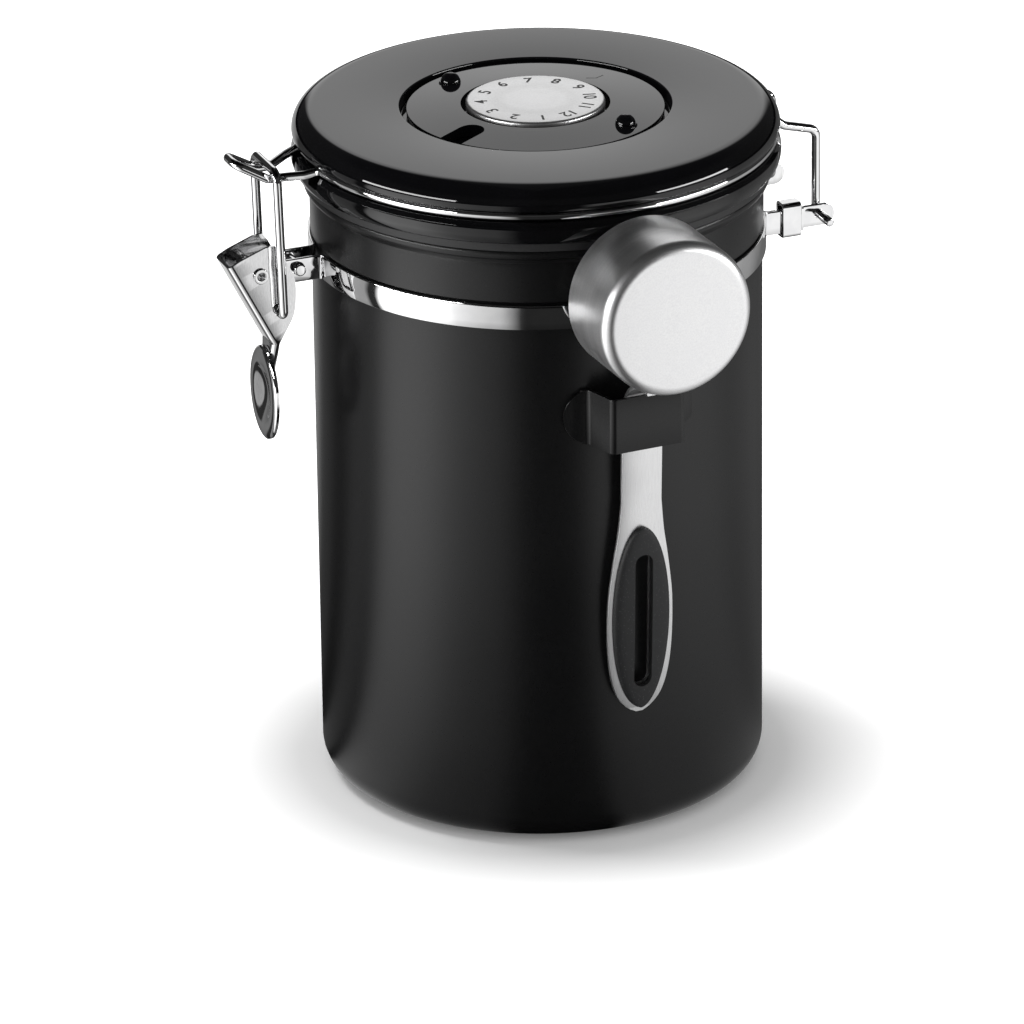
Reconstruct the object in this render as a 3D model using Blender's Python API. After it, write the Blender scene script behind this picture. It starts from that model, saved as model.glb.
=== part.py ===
"""Coffee canister with a wire toggle latch, a hinged lid with date dials, and a scoop in a clip.

Metres, +Z up. The origin is the middle of the base. The scoop hangs at -Y, the latch is at -X and
the hinge at +X. Everything that seats on another piece takes its place from that piece's sizes and
the named clearance.
"""

import math

import bmesh
import bpy
from mathutils import Matrix, Vector

# Fits and fineness
CLEARANCE = 0.0003
OVERRUN = 0.001
WELD_DISTANCE = 0.000001
BIG_STEPS = 48
MID_STEPS = 36
SMALL_STEPS = 20
WIRE_BEVEL_RESOLUTION = 2
FILLET_STEP_DEG = 23

# Can
CAN_R = 0.060
CAN_WALL = 0.001
CAN_H = 0.1703
BASE_FILLET_R = 0.0075
NECK_SWELL = 0.0003
BEAD_OUT = 0.002
BEAD_R = 0.00165
BEAD_GROOVE_H = 0.0012
SEAT_INSET = 0.0002
SHOULDER_H = 0.0019

# Neck strap, in two halves
STRAP_DROP = 0.0194
STRAP_H = 0.0066
STRAP_T = 0.0009
STRAP_BEND_R = 0.0015

# Wires
WIRE_R = 0.0012
WIRE_BEND_R = 0.0027
RING_BEND_R = 0.0025

# Lid
GASKET_T = 0.0016
GASKET_OUT = 0.0024
GASKET_LIP_T = 0.0005
GASKET_LIP_H = 0.0007
PLUG_GAP = 0.0013
PLUG_TAPER = 0.0029
PLUG_DEPTH = 0.0055
LID_OUT = 0.005
LID_WALL = 0.0014
LID_BASE_H = 0.006
LID_RIM_T = 0.007
RING_WIRE_OUT = 0.003
CAP_H = 0.0063
CAP_INSET = 0.0003
CAP_ROUND_W = 0.0061
CAP_SKIRT_T = 0.002
CAP_WALL = 0.0016
NOTCH_DEPTH = 0.0032

# Date dials on the lid
DIAL_GAP = 0.00185
RECESS_DEPTH = 0.0034
DATE_RING_R = 0.0341
DATE_RING_T = 0.0027
DATE_RING_EDGE = 0.0004
DATE_FLANGE_T = 0.001
WELL_R = 0.0198
DISC_R = 0.01845
DISC_T = 0.0031
DISC_EDGE = 0.0005
POST_R = 0.002
POST_SHOULDER_R = 0.0033
POST_FLANGE_R = 0.006
POST_FLANGE_T = 0.001
STUD_R = 0.00315
STUD_H = 0.003
STUD_CENTRE_R = 0.0285
STUD_ANGLES_DEG = (120.5, -56.0)
STUD_SINK_SHARE = 0.35
WINDOW_W = 0.0073
WINDOW_INNER_R = 0.0225
WINDOW_ANGLE_DEG = -152.5

# One-way valve under the lid
VALVE_R = 0.010
VALVE_T = 0.0014
VALVE_STEM_R = 0.0016
VALVE_BARB_R = 0.0024
VALVE_BARB_H = 0.0014
VENT_COUNT = 6
VENT_R = 0.0011
VENT_CIRCLE_R = 0.006
COVER_R = 0.0135
COVER_DEPTH = 0.004
COVER_T = 0.0008
COVER_RIM_W = 0.0025
COVER_HOLE_COUNT = 8
COVER_HOLE_R = 0.0012
COVER_HOLE_CIRCLE_R = 0.0075

# Hinge
HINGE_OUT = 0.0145
HINGE_RISE = 0.0003
HINGE_LEG_Y = 0.01475
HINGE_PIN_END_Y = 0.0245
HINGE_KNEE_RISE = 0.0042
HINGE_ARM_OUT = 0.005
HINGE_ARM_RISE = 0.0067
BRACKET_T = 0.0007
BRACKET_H = 0.0062
BRACKET_END_OUT = 0.019
TAB_END_OUT = 0.0095
FERRULE_OUT = 0.0058
FERRULE_L = 0.0054
FERRULE_W = 0.0048
FERRULE_H = 0.0097
FERRULE_T = 0.0007
FERRULE_CORNER_R = 0.0012

# Toggle latch, mirrored about its own plane
LATCH_Y = 0.0045
LATCH_INNER_HALF = 0.0033
EAR_END_OUT = 0.022
CLAMP_REACH = 0.0076
CLAMP_RISE = 0.0006
CLAMP_R = 0.00165
CLAMP_OUT = 0.002
PIVOT_OUT = 0.0185
PIVOT_RISE = 0.0004
RIVET_R = 0.0016
RIVET_BORE_R = 0.0011
RIVET_HEAD_R = 0.0021
RIVET_HEAD_T = 0.0004
LEVER_T = 0.0008
LEVER_FOLD_R = 0.0015
LEVER_TOP_OUT = 0.0089
LEVER_TOP_RISE = 0.0032
LEVER_FOOT_IN = 0.0031
LEVER_FOOT_DROP = 0.0204
LEVER_NECK_IN = 0.0028
LEVER_NECK_DROP = 0.023
LEVER_DEPTH = 0.0142
LEVER_LIP = 0.0019
LEVER_NECK_HALF_SHARE = 0.78
CHEEK_DEPTH_SHARES = (
    (0.0, 0.28),
    (0.03, 0.80),
    (0.065, 0.965),
    (0.27, 1.0),
    (0.49, 0.985),
    (0.66, 0.845),
    (0.84, 0.605),
    (0.96, 0.27),
)
TAB_IN = 0.0017
TAB_DROP = 0.0351
TAB_W = 0.020
TAB_L = 0.026
TAB_T = 0.0008
TAB_DISH = 0.0012
TAB_ROLL = 0.0006
TAB_RING_SHARES = ((0.42, 1.0, 0.0), (0.66, 0.0, 0.0), (0.9, 0.0, 0.0), (1.0, 0.0, 1.0))
BAIL_HOLE_IN = 0.005
BAIL_HOLE_DROP = 0.0108
BAIL_TOP_IN = 0.004
BAIL_CORNER_R = 0.003
BAIL_HOOK_R = 0.0016
BAIL_HOOK_IN = 0.001
BAIL_SPREAD = 0.0012

# Catch, the closed loop of the lid wire under the bail
CATCH_RISE = 0.0075
CATCH_KNEE_RISE = 0.0085
CATCH_EXIT_HALF = 0.0098
CATCH_KNEE_OUT = 0.0065
CATCH_KNEE_HALF = 0.008
CATCH_NECK_OUT = 0.012
CATCH_NECK_HALF = 0.0045
CATCH_BEND_OUT = 0.0155
CATCH_END_OUT = 0.0242
CATCH_END_HALF = 0.0036
CATCH_RISE_DEG = 30
CATCH_END_R = 0.0024

# Scoop and its clip, turned a little about the canister's axis
SCOOP_TURN_DEG = 2.5
CLIP_DROP = 0.0476
CLIP_H = 0.0152
CLIP_T = 0.001
CLIP_REACH = 0.0097
CLIP_FACE_HALF = 0.0105
CLIP_FOOT_HALF = 0.0125
CLIP_FLANGE_DEG = 18.3
CLIP_BEND_R = 0.0013
CUP_R = 0.0211
CUP_DEPTH = 0.0226
CUP_WALL = 0.0008
CUP_FILLET_R = 0.0023
CUP_GAP = 0.001
HANDLE_GAP = 0.0047
HANDLE_T = 0.0012
HANDLE_BEND_R = 0.0128
HANDLE_LEAN_DEG = 2.2
HANDLE_TIP_DROP = 0.086
HANDLE_TAPER_L = 0.061
HANDLE_TAB_L = 0.015
HANDLE_HALF_W = 0.0094
HANDLE_WIDTH_SHARES = (
    (0.0, 0.12),
    (0.022, 0.36),
    (0.067, 0.625),
    (0.125, 0.79),
    (0.21, 0.915),
    (0.31, 0.98),
    (0.43, 1.0),
    (0.56, 0.972),
    (0.74, 0.823),
    (0.86, 0.70),
    (1.0, 0.612),
)
SLOT_HALF_W = 0.00255
SLOT_LOW_RISE = 0.0081
SLOT_L = 0.0384
HANDLE_STEP_POWER = 1.5
GRIP_RIM = 0.0012
GRIP_LOW_RISE = 0.0016
GRIP_L = 0.0523
GRIP_T = 0.0019
GRIP_EDGE_T = 0.0009
GRIP_END_SHARE = 0.12
GRIP_CROWN_SHARES = ((1.0, 0.0), (0.93, 0.55), (0.75, 0.85), (0.35, 1.0))

# Places worked out from the sizes above
STRAP_Z = CAN_H - STRAP_DROP
STRAP_LOW = STRAP_Z - STRAP_H / 2
STRAP_HIGH = STRAP_Z + STRAP_H / 2
SEAT_R = CAN_R - SEAT_INSET
STRAP_MID_R = SEAT_R + CLEARANCE + STRAP_T / 2
BRACKET_MID_R = SEAT_R + CLEARANCE + BRACKET_T / 2
BEAD_MID_R = CAN_R + BEAD_OUT - BEAD_R
BEAD_Z = CAN_H - BEAD_R
MOUTH_R = BEAD_MID_R - BEAD_R
PLUG_R = MOUTH_R - PLUG_GAP
PLUG_BOTTOM_R = PLUG_R - PLUG_TAPER
LID_R = CAN_R + LID_OUT
RING_WIRE_R = CAN_R + RING_WIRE_OUT
CAP_OUT = LID_R - CAP_INSET
CAP_FLAT_R = CAP_OUT - CAP_ROUND_W
LID_Z = CAN_H + GASKET_T + 2 * CLEARANCE
LID_BASE_TOP = LID_Z + LID_BASE_H
RING_WIRE_Z = LID_BASE_TOP + CLEARANCE + WIRE_R
CAP_Z = RING_WIRE_Z + WIRE_R + CLEARANCE
CAP_TOP = CAP_Z + CAP_H
GROOVE_R = RING_WIRE_R - WIRE_R - CLEARANCE
PLUG_Z = LID_Z - PLUG_DEPTH
RECESS_R = DATE_RING_R + DIAL_GAP
DIAL_FLOOR_Z = CAP_TOP - RECESS_DEPTH
DATE_RING_Z = DIAL_FLOOR_Z + CLEARANCE
DISC_Z = DATE_RING_Z + DATE_FLANGE_T + CLEARANCE
PIN_BEND_R = WIRE_R + CLEARANCE
HINGE_X = CAN_R + HINGE_OUT
HINGE_Z = STRAP_Z + HINGE_RISE
HINGE_KNEE_Z = CAN_H + HINGE_KNEE_RISE
HINGE_ARM_X = CAN_R + HINGE_ARM_OUT
HINGE_ARM_Z = CAN_H + HINGE_ARM_RISE
BRACKET_END_X = CAN_R + BRACKET_END_OUT
TAB_END_X = CAN_R + TAB_END_OUT
FERRULE_X = CAN_R + FERRULE_OUT
EAR_OUTER_Y = HINGE_LEG_Y + WIRE_R + CLEARANCE + BRACKET_T
TAB_MID_Y = EAR_OUTER_Y + CLEARANCE + STRAP_T / 2
FERRULE_OUTER_Y = TAB_MID_Y + STRAP_T / 2 + CLEARANCE + FERRULE_T
EAR_END_X = -CAN_R - EAR_END_OUT
CLAMP_X = -CAN_R - CLAMP_REACH
CLAMP_Z = STRAP_Z + CLAMP_RISE
PIVOT_X = -CAN_R - PIVOT_OUT
PIVOT_Z = STRAP_Z + PIVOT_RISE
LEVER_TOP_X = PIVOT_X - LEVER_TOP_OUT
LEVER_TOP_Z = PIVOT_Z + LEVER_TOP_RISE
LEVER_FOOT_X = PIVOT_X + LEVER_FOOT_IN
LEVER_FOOT_Z = PIVOT_Z - LEVER_FOOT_DROP
LEVER_NECK_X = PIVOT_X + LEVER_NECK_IN
LEVER_NECK_Z = PIVOT_Z - LEVER_NECK_DROP
TAB_X = PIVOT_X + TAB_IN
TAB_Z = PIVOT_Z - TAB_DROP
BAIL_HOLE_X = PIVOT_X + BAIL_HOLE_IN
BAIL_HOLE_Z = PIVOT_Z - BAIL_HOLE_DROP
BAIL_TOP_X = PIVOT_X + BAIL_TOP_IN
CATCH_Z = CAN_H + CATCH_RISE
CATCH_KNEE_Z = CAN_H + CATCH_KNEE_RISE
CATCH_KNEE_X = -CAN_R - CATCH_KNEE_OUT
CATCH_NECK_X = -CAN_R - CATCH_NECK_OUT
CATCH_BEND_X = -CAN_R - CATCH_BEND_OUT
CATCH_END_X = -CAN_R - CATCH_END_OUT
EAR_HALF = LATCH_INNER_HALF + STRAP_T
CHEEK_INNER_HALF = EAR_HALF + CLEARANCE
CHEEK_HALF = CHEEK_INNER_HALF + LEVER_T
RIVET_HALF = CHEEK_HALF + CLEARANCE + RIVET_HEAD_T
BAIL_HALF = RIVET_HALF + CLEARANCE + WIRE_R + BAIL_SPREAD
BAIL_TOP_Z = CATCH_Z + 2 * WIRE_R + CLEARANCE
CLIP_Z = CAN_H - CLIP_DROP
CLIP_TOP = CLIP_Z + CLIP_H / 2
CLIP_OUT = CAN_R + CLIP_REACH
CLIP_INNER = CLIP_OUT - CLIP_T
CUP_MOUTH = LID_R + CUP_GAP
HANDLE_BACK = CAN_R + HANDLE_GAP
HANDLE_MID = HANDLE_BACK + HANDLE_T / 2
HANDLE_TIP_Z = CLIP_Z - HANDLE_TIP_DROP
HANDLE_TAB_OUT = CUP_MOUTH + HANDLE_TAB_L
SLOT_LOW_Z = HANDLE_TIP_Z + SLOT_LOW_RISE
SLOT_HIGH_Z = SLOT_LOW_Z + SLOT_L
GRIP_LOW_Z = HANDLE_TIP_Z + GRIP_LOW_RISE
GRIP_HALF_W = HANDLE_HALF_W - GRIP_RIM
HANDLE_BEND_RHO = HANDLE_MID + HANDLE_BEND_R
HANDLE_UNDER_R = HANDLE_BEND_R - HANDLE_T / 2
HANDLE_REST_RISE = math.sqrt(HANDLE_UNDER_R**2 - (HANDLE_BEND_RHO - CLIP_INNER) ** 2)
HANDLE_BEND_Z = CLIP_TOP + CLEARANCE - HANDLE_REST_RISE
HANDLE_TOP_Z = HANDLE_BEND_Z + HANDLE_BEND_R + HANDLE_T / 2
CUP_Z = HANDLE_TOP_Z + CLEARANCE + CUP_R


def finish(name, colour, roughness, metallic):
    """A plain Principled material."""
    material = bpy.data.materials.new(name)
    material.use_nodes = True
    shader = material.node_tree.nodes["Principled BSDF"]
    shader.inputs["Base Color"].default_value = (*colour, 1)
    shader.inputs["Roughness"].default_value = roughness
    shader.inputs["Metallic"].default_value = metallic
    return material


def add_object(name, bm, material):
    """Close up a bmesh as a smooth-shaded object of one material."""
    bmesh.ops.remove_doubles(bm, verts=bm.verts, dist=WELD_DISTANCE)
    bmesh.ops.recalc_face_normals(bm, faces=bm.faces)
    mesh = bpy.data.meshes.new(name)
    bm.to_mesh(mesh)
    bm.free()
    mesh.shade_smooth()
    mesh.set_sharp_from_angle(angle=math.radians(35))
    mesh.materials.append(material)
    made = bpy.data.objects.new(name, mesh)
    bpy.context.collection.objects.link(made)
    return made


def arc(centre, radius, start_deg, end_deg, steps):
    """Points of an arc in a plane, both ends included."""
    points = []
    for step in range(steps + 1):
        angle = math.radians(start_deg + (end_deg - start_deg) * step / steps)
        points.append((centre[0] + radius * math.cos(angle), centre[1] + radius * math.sin(angle)))
    return points


def turned_mesh(profile, steps):
    """Spin a profile of (radius, height) about Z. One that starts off the axis is a closed ring."""
    bm = bmesh.new()
    verts = [bm.verts.new((radius, 0, height)) for radius, height in profile]
    pairs = list(zip(verts, verts[1:]))
    if profile[0][0] > 0:
        pairs.append((verts[-1], verts[0]))
    edges = [bm.edges.new(pair) for pair in pairs]
    bmesh.ops.spin(bm, geom=verts + edges, axis=(0, 0, 1), cent=(0, 0, 0), angle=math.tau, steps=steps)
    return bm


def turned(name, profile, material, steps):
    return add_object(name, turned_mesh(profile, steps), material)


def rounded(corners, radii):
    """A polyline with each corner rounded by its radius; a radius of zero keeps the corner."""
    corners = [Vector(corner).to_3d() for corner in corners]
    points = [corners[0]]
    for before, corner, after, radius in zip(corners, corners[1:], corners[2:], radii):
        to_start = (before - corner).normalized()
        to_end = (after - corner).normalized()
        turn = math.pi - to_start.angle(to_end)
        if radius == 0 or turn < math.radians(1):
            points.append(corner)
            continue
        reach = radius * math.tan(turn / 2)
        middle = (to_start + to_end).normalized()
        centre = corner + middle * (radius / math.cos(turn / 2))
        first = (corner + to_start * reach - centre).normalized()
        last = (corner + to_end * reach - centre).normalized()
        steps = max(2, math.ceil(math.degrees(turn) / FILLET_STEP_DEG))
        for step in range(steps + 1):
            points.append(centre + first.slerp(last, step / steps) * radius)
    points.append(corners[-1])
    return points


def loft(rings):
    """Join rings of equally many points by quads and fill both ends."""
    bm = bmesh.new()
    rows = [[bm.verts.new(point) for point in ring] for ring in rings]
    for row, after in zip(rows, rows[1:]):
        for k in range(len(row)):
            n = (k + 1) % len(row)
            bm.faces.new((row[k], row[n], after[n], after[k]))
    bm.faces.new(rows[0])
    bm.faces.new(rows[-1])
    return bm


def offsets(path):
    """The mitred sideways direction at each point of a plane path."""
    sides = []
    for k, point in enumerate(path):
        before = (point - path[k - 1]).normalized() if k else None
        after = (path[k + 1] - point).normalized() if k + 1 < len(path) else None
        before = before or after
        after = after or before
        along = (before + after).normalized()
        stretch = 1 / max(0.5, along.dot(after))
        sides.append(Vector((-along.y, along.x, 0)) * stretch)
    return sides


def ribbon(path, halves, thickness):
    """A strip of sheet that follows a plane path, standing along Z by a half height at each point."""
    rings = []
    for point, side, half in zip(path, offsets(path), halves):
        out = side * (thickness / 2)
        up = Vector((0, 0, half))
        rings.append((point - out - up, point + out - up, point + out + up, point - out + up))
    return loft(rings)


def point_along(path, distance):
    """The point at a distance along a path."""
    for start, end in zip(path, path[1:]):
        length = (end - start).length
        if distance <= length:
            return start.lerp(end, distance / length)
        distance -= length
    return path[-1].copy()


def round_tips(path, half, start, end):
    """Add points near the chosen ends and give each point the half height of a round tip there."""
    total = sum((b - a).length for a, b in zip(path, path[1:]))
    blunt = math.radians(16)
    angles = [blunt + (math.pi / 2 - blunt) * step / 4 for step in range(5)]
    reaches = [half * (math.cos(blunt) - math.cos(angle)) for angle in angles]
    spots = {}
    travelled = 0
    for k, point in enumerate(path):
        travelled += (point - path[k - 1]).length if k else 0
        spots[travelled] = half
    for flag, place in ((start, lambda reach: reach), (end, lambda reach: total - reach)):
        if not flag:
            continue
        for spot in [s for s in spots if abs(s - place(0)) < reaches[-1]]:
            del spots[spot]
        for reach, angle in zip(reaches, angles):
            spots[place(reach)] = half * math.sin(angle)
    order = sorted(spots)
    return [point_along(path, spot) for spot in order], [spots[spot] for spot in order]


def plate(outlines, low, high):
    """A flat plate between two heights along Z, its outline first and its holes after it."""
    bm = bmesh.new()
    edges = []
    for outline in outlines:
        verts = [bm.verts.new((x, y, low)) for x, y in outline]
        edges += [bm.edges.new((a, b)) for a, b in zip(verts, verts[1:] + verts[:1])]
    bmesh.ops.triangle_fill(bm, use_beauty=True, edges=edges)
    grown = bmesh.ops.extrude_face_region(bm, geom=bm.faces[:])
    risen = [item for item in grown["geom"] if isinstance(item, bmesh.types.BMVert)]
    bmesh.ops.translate(bm, verts=risen, vec=(0, 0, high - low))
    return bm


def helper(made):
    """Mark an object as a cutter or a joined shape that isn't a piece by itself."""
    made.hide_render = True
    made.display_type = "WIRE"
    return made


def combine(target, tool, operation):
    modifier = target.modifiers.new(tool.name, "BOOLEAN")
    modifier.solver = "EXACT"
    modifier.operation = operation
    modifier.object = helper(tool)


def rod_cutter(name, radius, start, end, material):
    """A round cutter between two points."""
    start = Vector(start)
    end = Vector(end)
    bm = bmesh.new()
    turn = (end - start).to_track_quat("Z", "Y").to_matrix().to_4x4()
    matrix = Matrix.Translation((start + end) / 2) @ turn
    bmesh.ops.create_cone(
        bm, cap_ends=True, segments=SMALL_STEPS, radius1=radius, radius2=radius,
        depth=(end - start).length, matrix=matrix,
    )
    return add_object(name, bm, material)


def box_cutter(name, low, high, material):
    low = Vector(low)
    high = Vector(high)
    bm = bmesh.new()
    size = Matrix.Diagonal((*(high - low), 1))
    bmesh.ops.create_cube(bm, size=1, matrix=Matrix.Translation((low + high) / 2) @ size)
    return add_object(name, bm, material)


def wire(name, points, material):
    """Round wire along a polyline, with flat ends."""
    curve = bpy.data.curves.new(name, "CURVE")
    curve.dimensions = "3D"
    curve.bevel_depth = WIRE_R
    curve.bevel_resolution = WIRE_BEVEL_RESOLUTION
    curve.use_fill_caps = True
    spline = curve.splines.new("POLY")
    spline.points.add(len(points) - 1)
    for spot, point in zip(spline.points, points):
        spot.co = (*point, 1)
    curve.materials.append(material)
    made = bpy.data.objects.new(name, curve)
    bpy.context.collection.objects.link(made)
    return made


def carrier(name, place):
    """An empty on a joint's axis, for the pieces that move about it."""
    made = bpy.data.objects.new(name, None)
    made.location = place
    bpy.context.collection.objects.link(made)
    return made


def hang(parent, pieces):
    """Parent pieces where they stand."""
    bpy.context.view_layer.update()
    for piece in pieces:
        piece.parent = parent
        piece.matrix_parent_inverse = parent.matrix_world.inverted()


def smooth_share(table, place):
    """Read a table of (place, value) shares along a smooth curve."""
    spots = [Vector(row) for row in table]
    spots = [2 * spots[0] - spots[1], *spots, 2 * spots[-1] - spots[-2]]
    for before, a, b, after in zip(spots, spots[1:], spots[2:], spots[3:]):
        if place <= b.x or b is spots[-2]:
            t = min(1, max(0, (place - a.x) / (b.x - a.x)))
            slope_a = (b.y - before.y) / (b.x - before.x) * (b.x - a.x)
            slope_b = (after.y - a.y) / (after.x - a.x) * (b.x - a.x)
            bend = (2 * t**3 - 3 * t**2 + 1) * a.y + (3 * t**2 - 2 * t**3) * b.y
            return bend + (t**3 - 2 * t**2 + t) * slope_a + (t**3 - t**2) * slope_b
    return table[-1][1]


def make_can(paint):
    """Drawn can with a filleted base, a seat for the strap and a rolled bead at the mouth."""
    inner_r = CAN_R - CAN_WALL
    fillet_mid = (CAN_R - BASE_FILLET_R, BASE_FILLET_R)
    seat_low = STRAP_LOW - CLEARANCE
    seat_high = STRAP_HIGH + CLEARANCE
    neck_r = CAN_R + NECK_SWELL
    profile = [(0, 0)]
    profile += arc(fillet_mid, BASE_FILLET_R, -90, 0, 4)
    profile += [(CAN_R, seat_low - SHOULDER_H), (SEAT_R, seat_low), (SEAT_R, seat_high)]
    profile += [(neck_r, seat_high + (neck_r - SEAT_R))]
    profile += [(neck_r, BEAD_Z - BEAD_R - 2 * BEAD_GROOVE_H)]
    profile += [(CAN_R, BEAD_Z - BEAD_R - BEAD_GROOVE_H)]
    profile += arc((BEAD_MID_R, BEAD_Z), BEAD_R, -75, 180, 8)
    profile += [(MOUTH_R, seat_low), (inner_r, seat_low - SHOULDER_H)]
    profile += arc(fillet_mid, BASE_FILLET_R - CAN_WALL, 0, -90, 3)
    profile += [(0, CAN_WALL)]
    return turned("canister_body", profile, paint, BIG_STEPS)


def strap_path(ear_y, tab_y, start_deg, end_deg):
    """From the latch ear round the seat to the hinge tab."""
    steps = 24
    ring = []
    for step in range(steps + 1):
        angle = math.radians(start_deg + (end_deg - start_deg) * step / steps)
        ring.append((STRAP_MID_R * math.cos(angle), STRAP_MID_R * math.sin(angle)))
    corners = [(EAR_END_X, ear_y), *ring, (TAB_END_X, tab_y)]
    radii = [STRAP_BEND_R] + [0] * (steps - 1) + [STRAP_BEND_R]
    return rounded(corners, radii)


def make_strap(name, side, steel):
    """One half of the neck strap; side is -1 for the front half and 1 for the rear one."""
    ear_y = LATCH_Y + side * (LATCH_INNER_HALF + STRAP_T / 2)
    start = 180 - math.degrees(math.asin(ear_y / STRAP_MID_R))
    end = math.degrees(math.asin(TAB_MID_Y / STRAP_MID_R))
    if side < 0:
        end = 360 - end
    path = strap_path(ear_y, side * TAB_MID_Y, start, end)
    path, halves = round_tips(path, STRAP_H / 2, True, False)
    made = add_object(name, ribbon(path, halves, STRAP_T), steel)
    made.location = (0, 0, STRAP_Z)
    near = ear_y - STRAP_T
    far = ear_y + STRAP_T
    hole = CLEARANCE + CLAMP_R
    tool = rod_cutter(name + "_clamp_hole", hole, (CLAMP_X, near, CLAMP_Z), (CLAMP_X, far, CLAMP_Z), steel)
    combine(made, tool, "DIFFERENCE")
    hole = CLEARANCE + RIVET_R
    tool = rod_cutter(name + "_pivot_hole", hole, (PIVOT_X, near, PIVOT_Z), (PIVOT_X, far, PIVOT_Z), steel)
    combine(made, tool, "DIFFERENCE")
    return made


def make_bracket(steel):
    """U-shaped hinge bracket: a curved back in the strap's seat and two ears for the wire's pins."""
    ear_y = EAR_OUTER_Y - BRACKET_T / 2
    end = math.degrees(math.asin(ear_y / BRACKET_MID_R))
    back = arc((0, 0), BRACKET_MID_R, -end, end, 6)
    corners = [(BRACKET_END_X, -ear_y), *back, (BRACKET_END_X, ear_y)]
    radii = [STRAP_BEND_R] + [0] * 5 + [STRAP_BEND_R]
    path, halves = round_tips(rounded(corners, radii), BRACKET_H / 2, True, True)
    made = add_object("hinge_bracket", ribbon(path, halves, BRACKET_T), steel)
    made.location = (0, 0, STRAP_Z)
    reach = EAR_OUTER_Y + OVERRUN
    tool = rod_cutter(
        "hinge_pin_hole", WIRE_R + CLEARANCE, (HINGE_X, -reach, HINGE_Z), (HINGE_X, reach, HINGE_Z), steel
    )
    combine(made, tool, "DIFFERENCE")
    return made


def rounded_box(width, height, corner):
    """Outline of a rectangle with round corners about the origin."""
    points = []
    for turn, (sx, sy) in enumerate(((1, 1), (-1, 1), (-1, -1), (1, -1))):
        middle = (sx * (width / 2 - corner), sy * (height / 2 - corner))
        points += arc(middle, corner, 90 * turn, 90 * turn + 90, 3)
    return points


def make_ferrule(name, side, steel):
    """Rectangular ring round a strap tab and a bracket ear."""
    inner_w = FERRULE_W - 2 * FERRULE_T
    inner_h = FERRULE_H - 2 * FERRULE_T
    outlines = (
        rounded_box(FERRULE_W, FERRULE_H, FERRULE_CORNER_R),
        rounded_box(inner_w, inner_h, FERRULE_CORNER_R - FERRULE_T),
    )
    ring = plate(outlines, -FERRULE_L / 2, FERRULE_L / 2)
    ring.transform(Matrix(((0, 0, 1, 0), (1, 0, 0, 0), (0, 1, 0, 0), (0, 0, 0, 1))))
    made = add_object(name, ring, steel)
    made.location = (FERRULE_X, side * (FERRULE_OUTER_Y - FERRULE_W / 2), HINGE_Z)
    return made


def lid_wire_points():
    """Pin, leg, arm, half ring and catch, then the same back along the rear."""
    ring_exit = math.degrees(math.asin(HINGE_LEG_Y / RING_WIRE_R))
    steps = 26
    catch_rise = (CATCH_BEND_X - CATCH_END_X) * math.tan(math.radians(CATCH_RISE_DEG))
    halves = []
    for side in (-1, 1):
        leg_y = side * HINGE_LEG_Y
        corners = [
            (HINGE_X, side * HINGE_PIN_END_Y, HINGE_Z),
            (HINGE_X, leg_y, HINGE_Z),
            (HINGE_X, leg_y, HINGE_KNEE_Z),
            (HINGE_ARM_X, leg_y, HINGE_ARM_Z),
        ]
        radii = [0, PIN_BEND_R, WIRE_BEND_R, WIRE_BEND_R]
        exit_y = LATCH_Y + side * CATCH_EXIT_HALF
        last = 180 - side * math.degrees(math.asin(exit_y / RING_WIRE_R))
        for step in range(steps + 1):
            angle = side * math.radians(ring_exit + (last - ring_exit) * step / steps)
            spot = (RING_WIRE_R * math.cos(angle), RING_WIRE_R * math.sin(angle), RING_WIRE_Z)
            corners.append(spot)
            radii.append(RING_BEND_R if step in (0, steps) else 0)
        for x, half, z, bend in (
            (CATCH_KNEE_X, CATCH_KNEE_HALF, CATCH_KNEE_Z, RING_BEND_R),
            (CATCH_NECK_X, CATCH_NECK_HALF, CATCH_Z, WIRE_BEND_R),
            (CATCH_BEND_X, CATCH_NECK_HALF, CATCH_Z, WIRE_BEND_R),
            (CATCH_END_X, CATCH_END_HALF, CATCH_Z + catch_rise, CATCH_END_R),
        ):
            corners.append((x, LATCH_Y + side * half, z))
            radii.append(bend)
        halves.append((corners, radii))
    (front, front_radii), (rear, rear_radii) = halves
    return rounded(front + rear[::-1], (front_radii + rear_radii[::-1])[1:-1])


def bail_points():
    """From one hook through a cheek, up over the catch and down to the other hook."""
    inner = CHEEK_INNER_HALF - BAIL_HOOK_IN
    front = [
        (BAIL_HOLE_X, LATCH_Y - inner, BAIL_HOLE_Z),
        (BAIL_HOLE_X, LATCH_Y - BAIL_HALF, BAIL_HOLE_Z),
        (BAIL_TOP_X, LATCH_Y - BAIL_HALF, BAIL_TOP_Z),
    ]
    rear = [(x, 2 * LATCH_Y - y, z) for x, y, z in reversed(front)]
    return rounded(front + rear, [BAIL_HOOK_R, BAIL_CORNER_R, BAIL_CORNER_R, BAIL_HOOK_R])


def cheek_section(half, depth):
    """Outline of the lever's channel across its spine: (sideways, towards the can)."""
    fold = LEVER_FOLD_R
    mid = fold * (1 - math.sqrt(0.5))
    right = [(half - fold, 0), (half - mid, mid), (half, fold), (half, depth)]
    inner = [(half - LEVER_T, depth), (half - LEVER_T, fold), (half - fold, LEVER_T)]
    side = right + inner
    return [(-x, d) for x, d in reversed(right)] + side + [(-x, d) for x, d in reversed(inner)]


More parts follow.
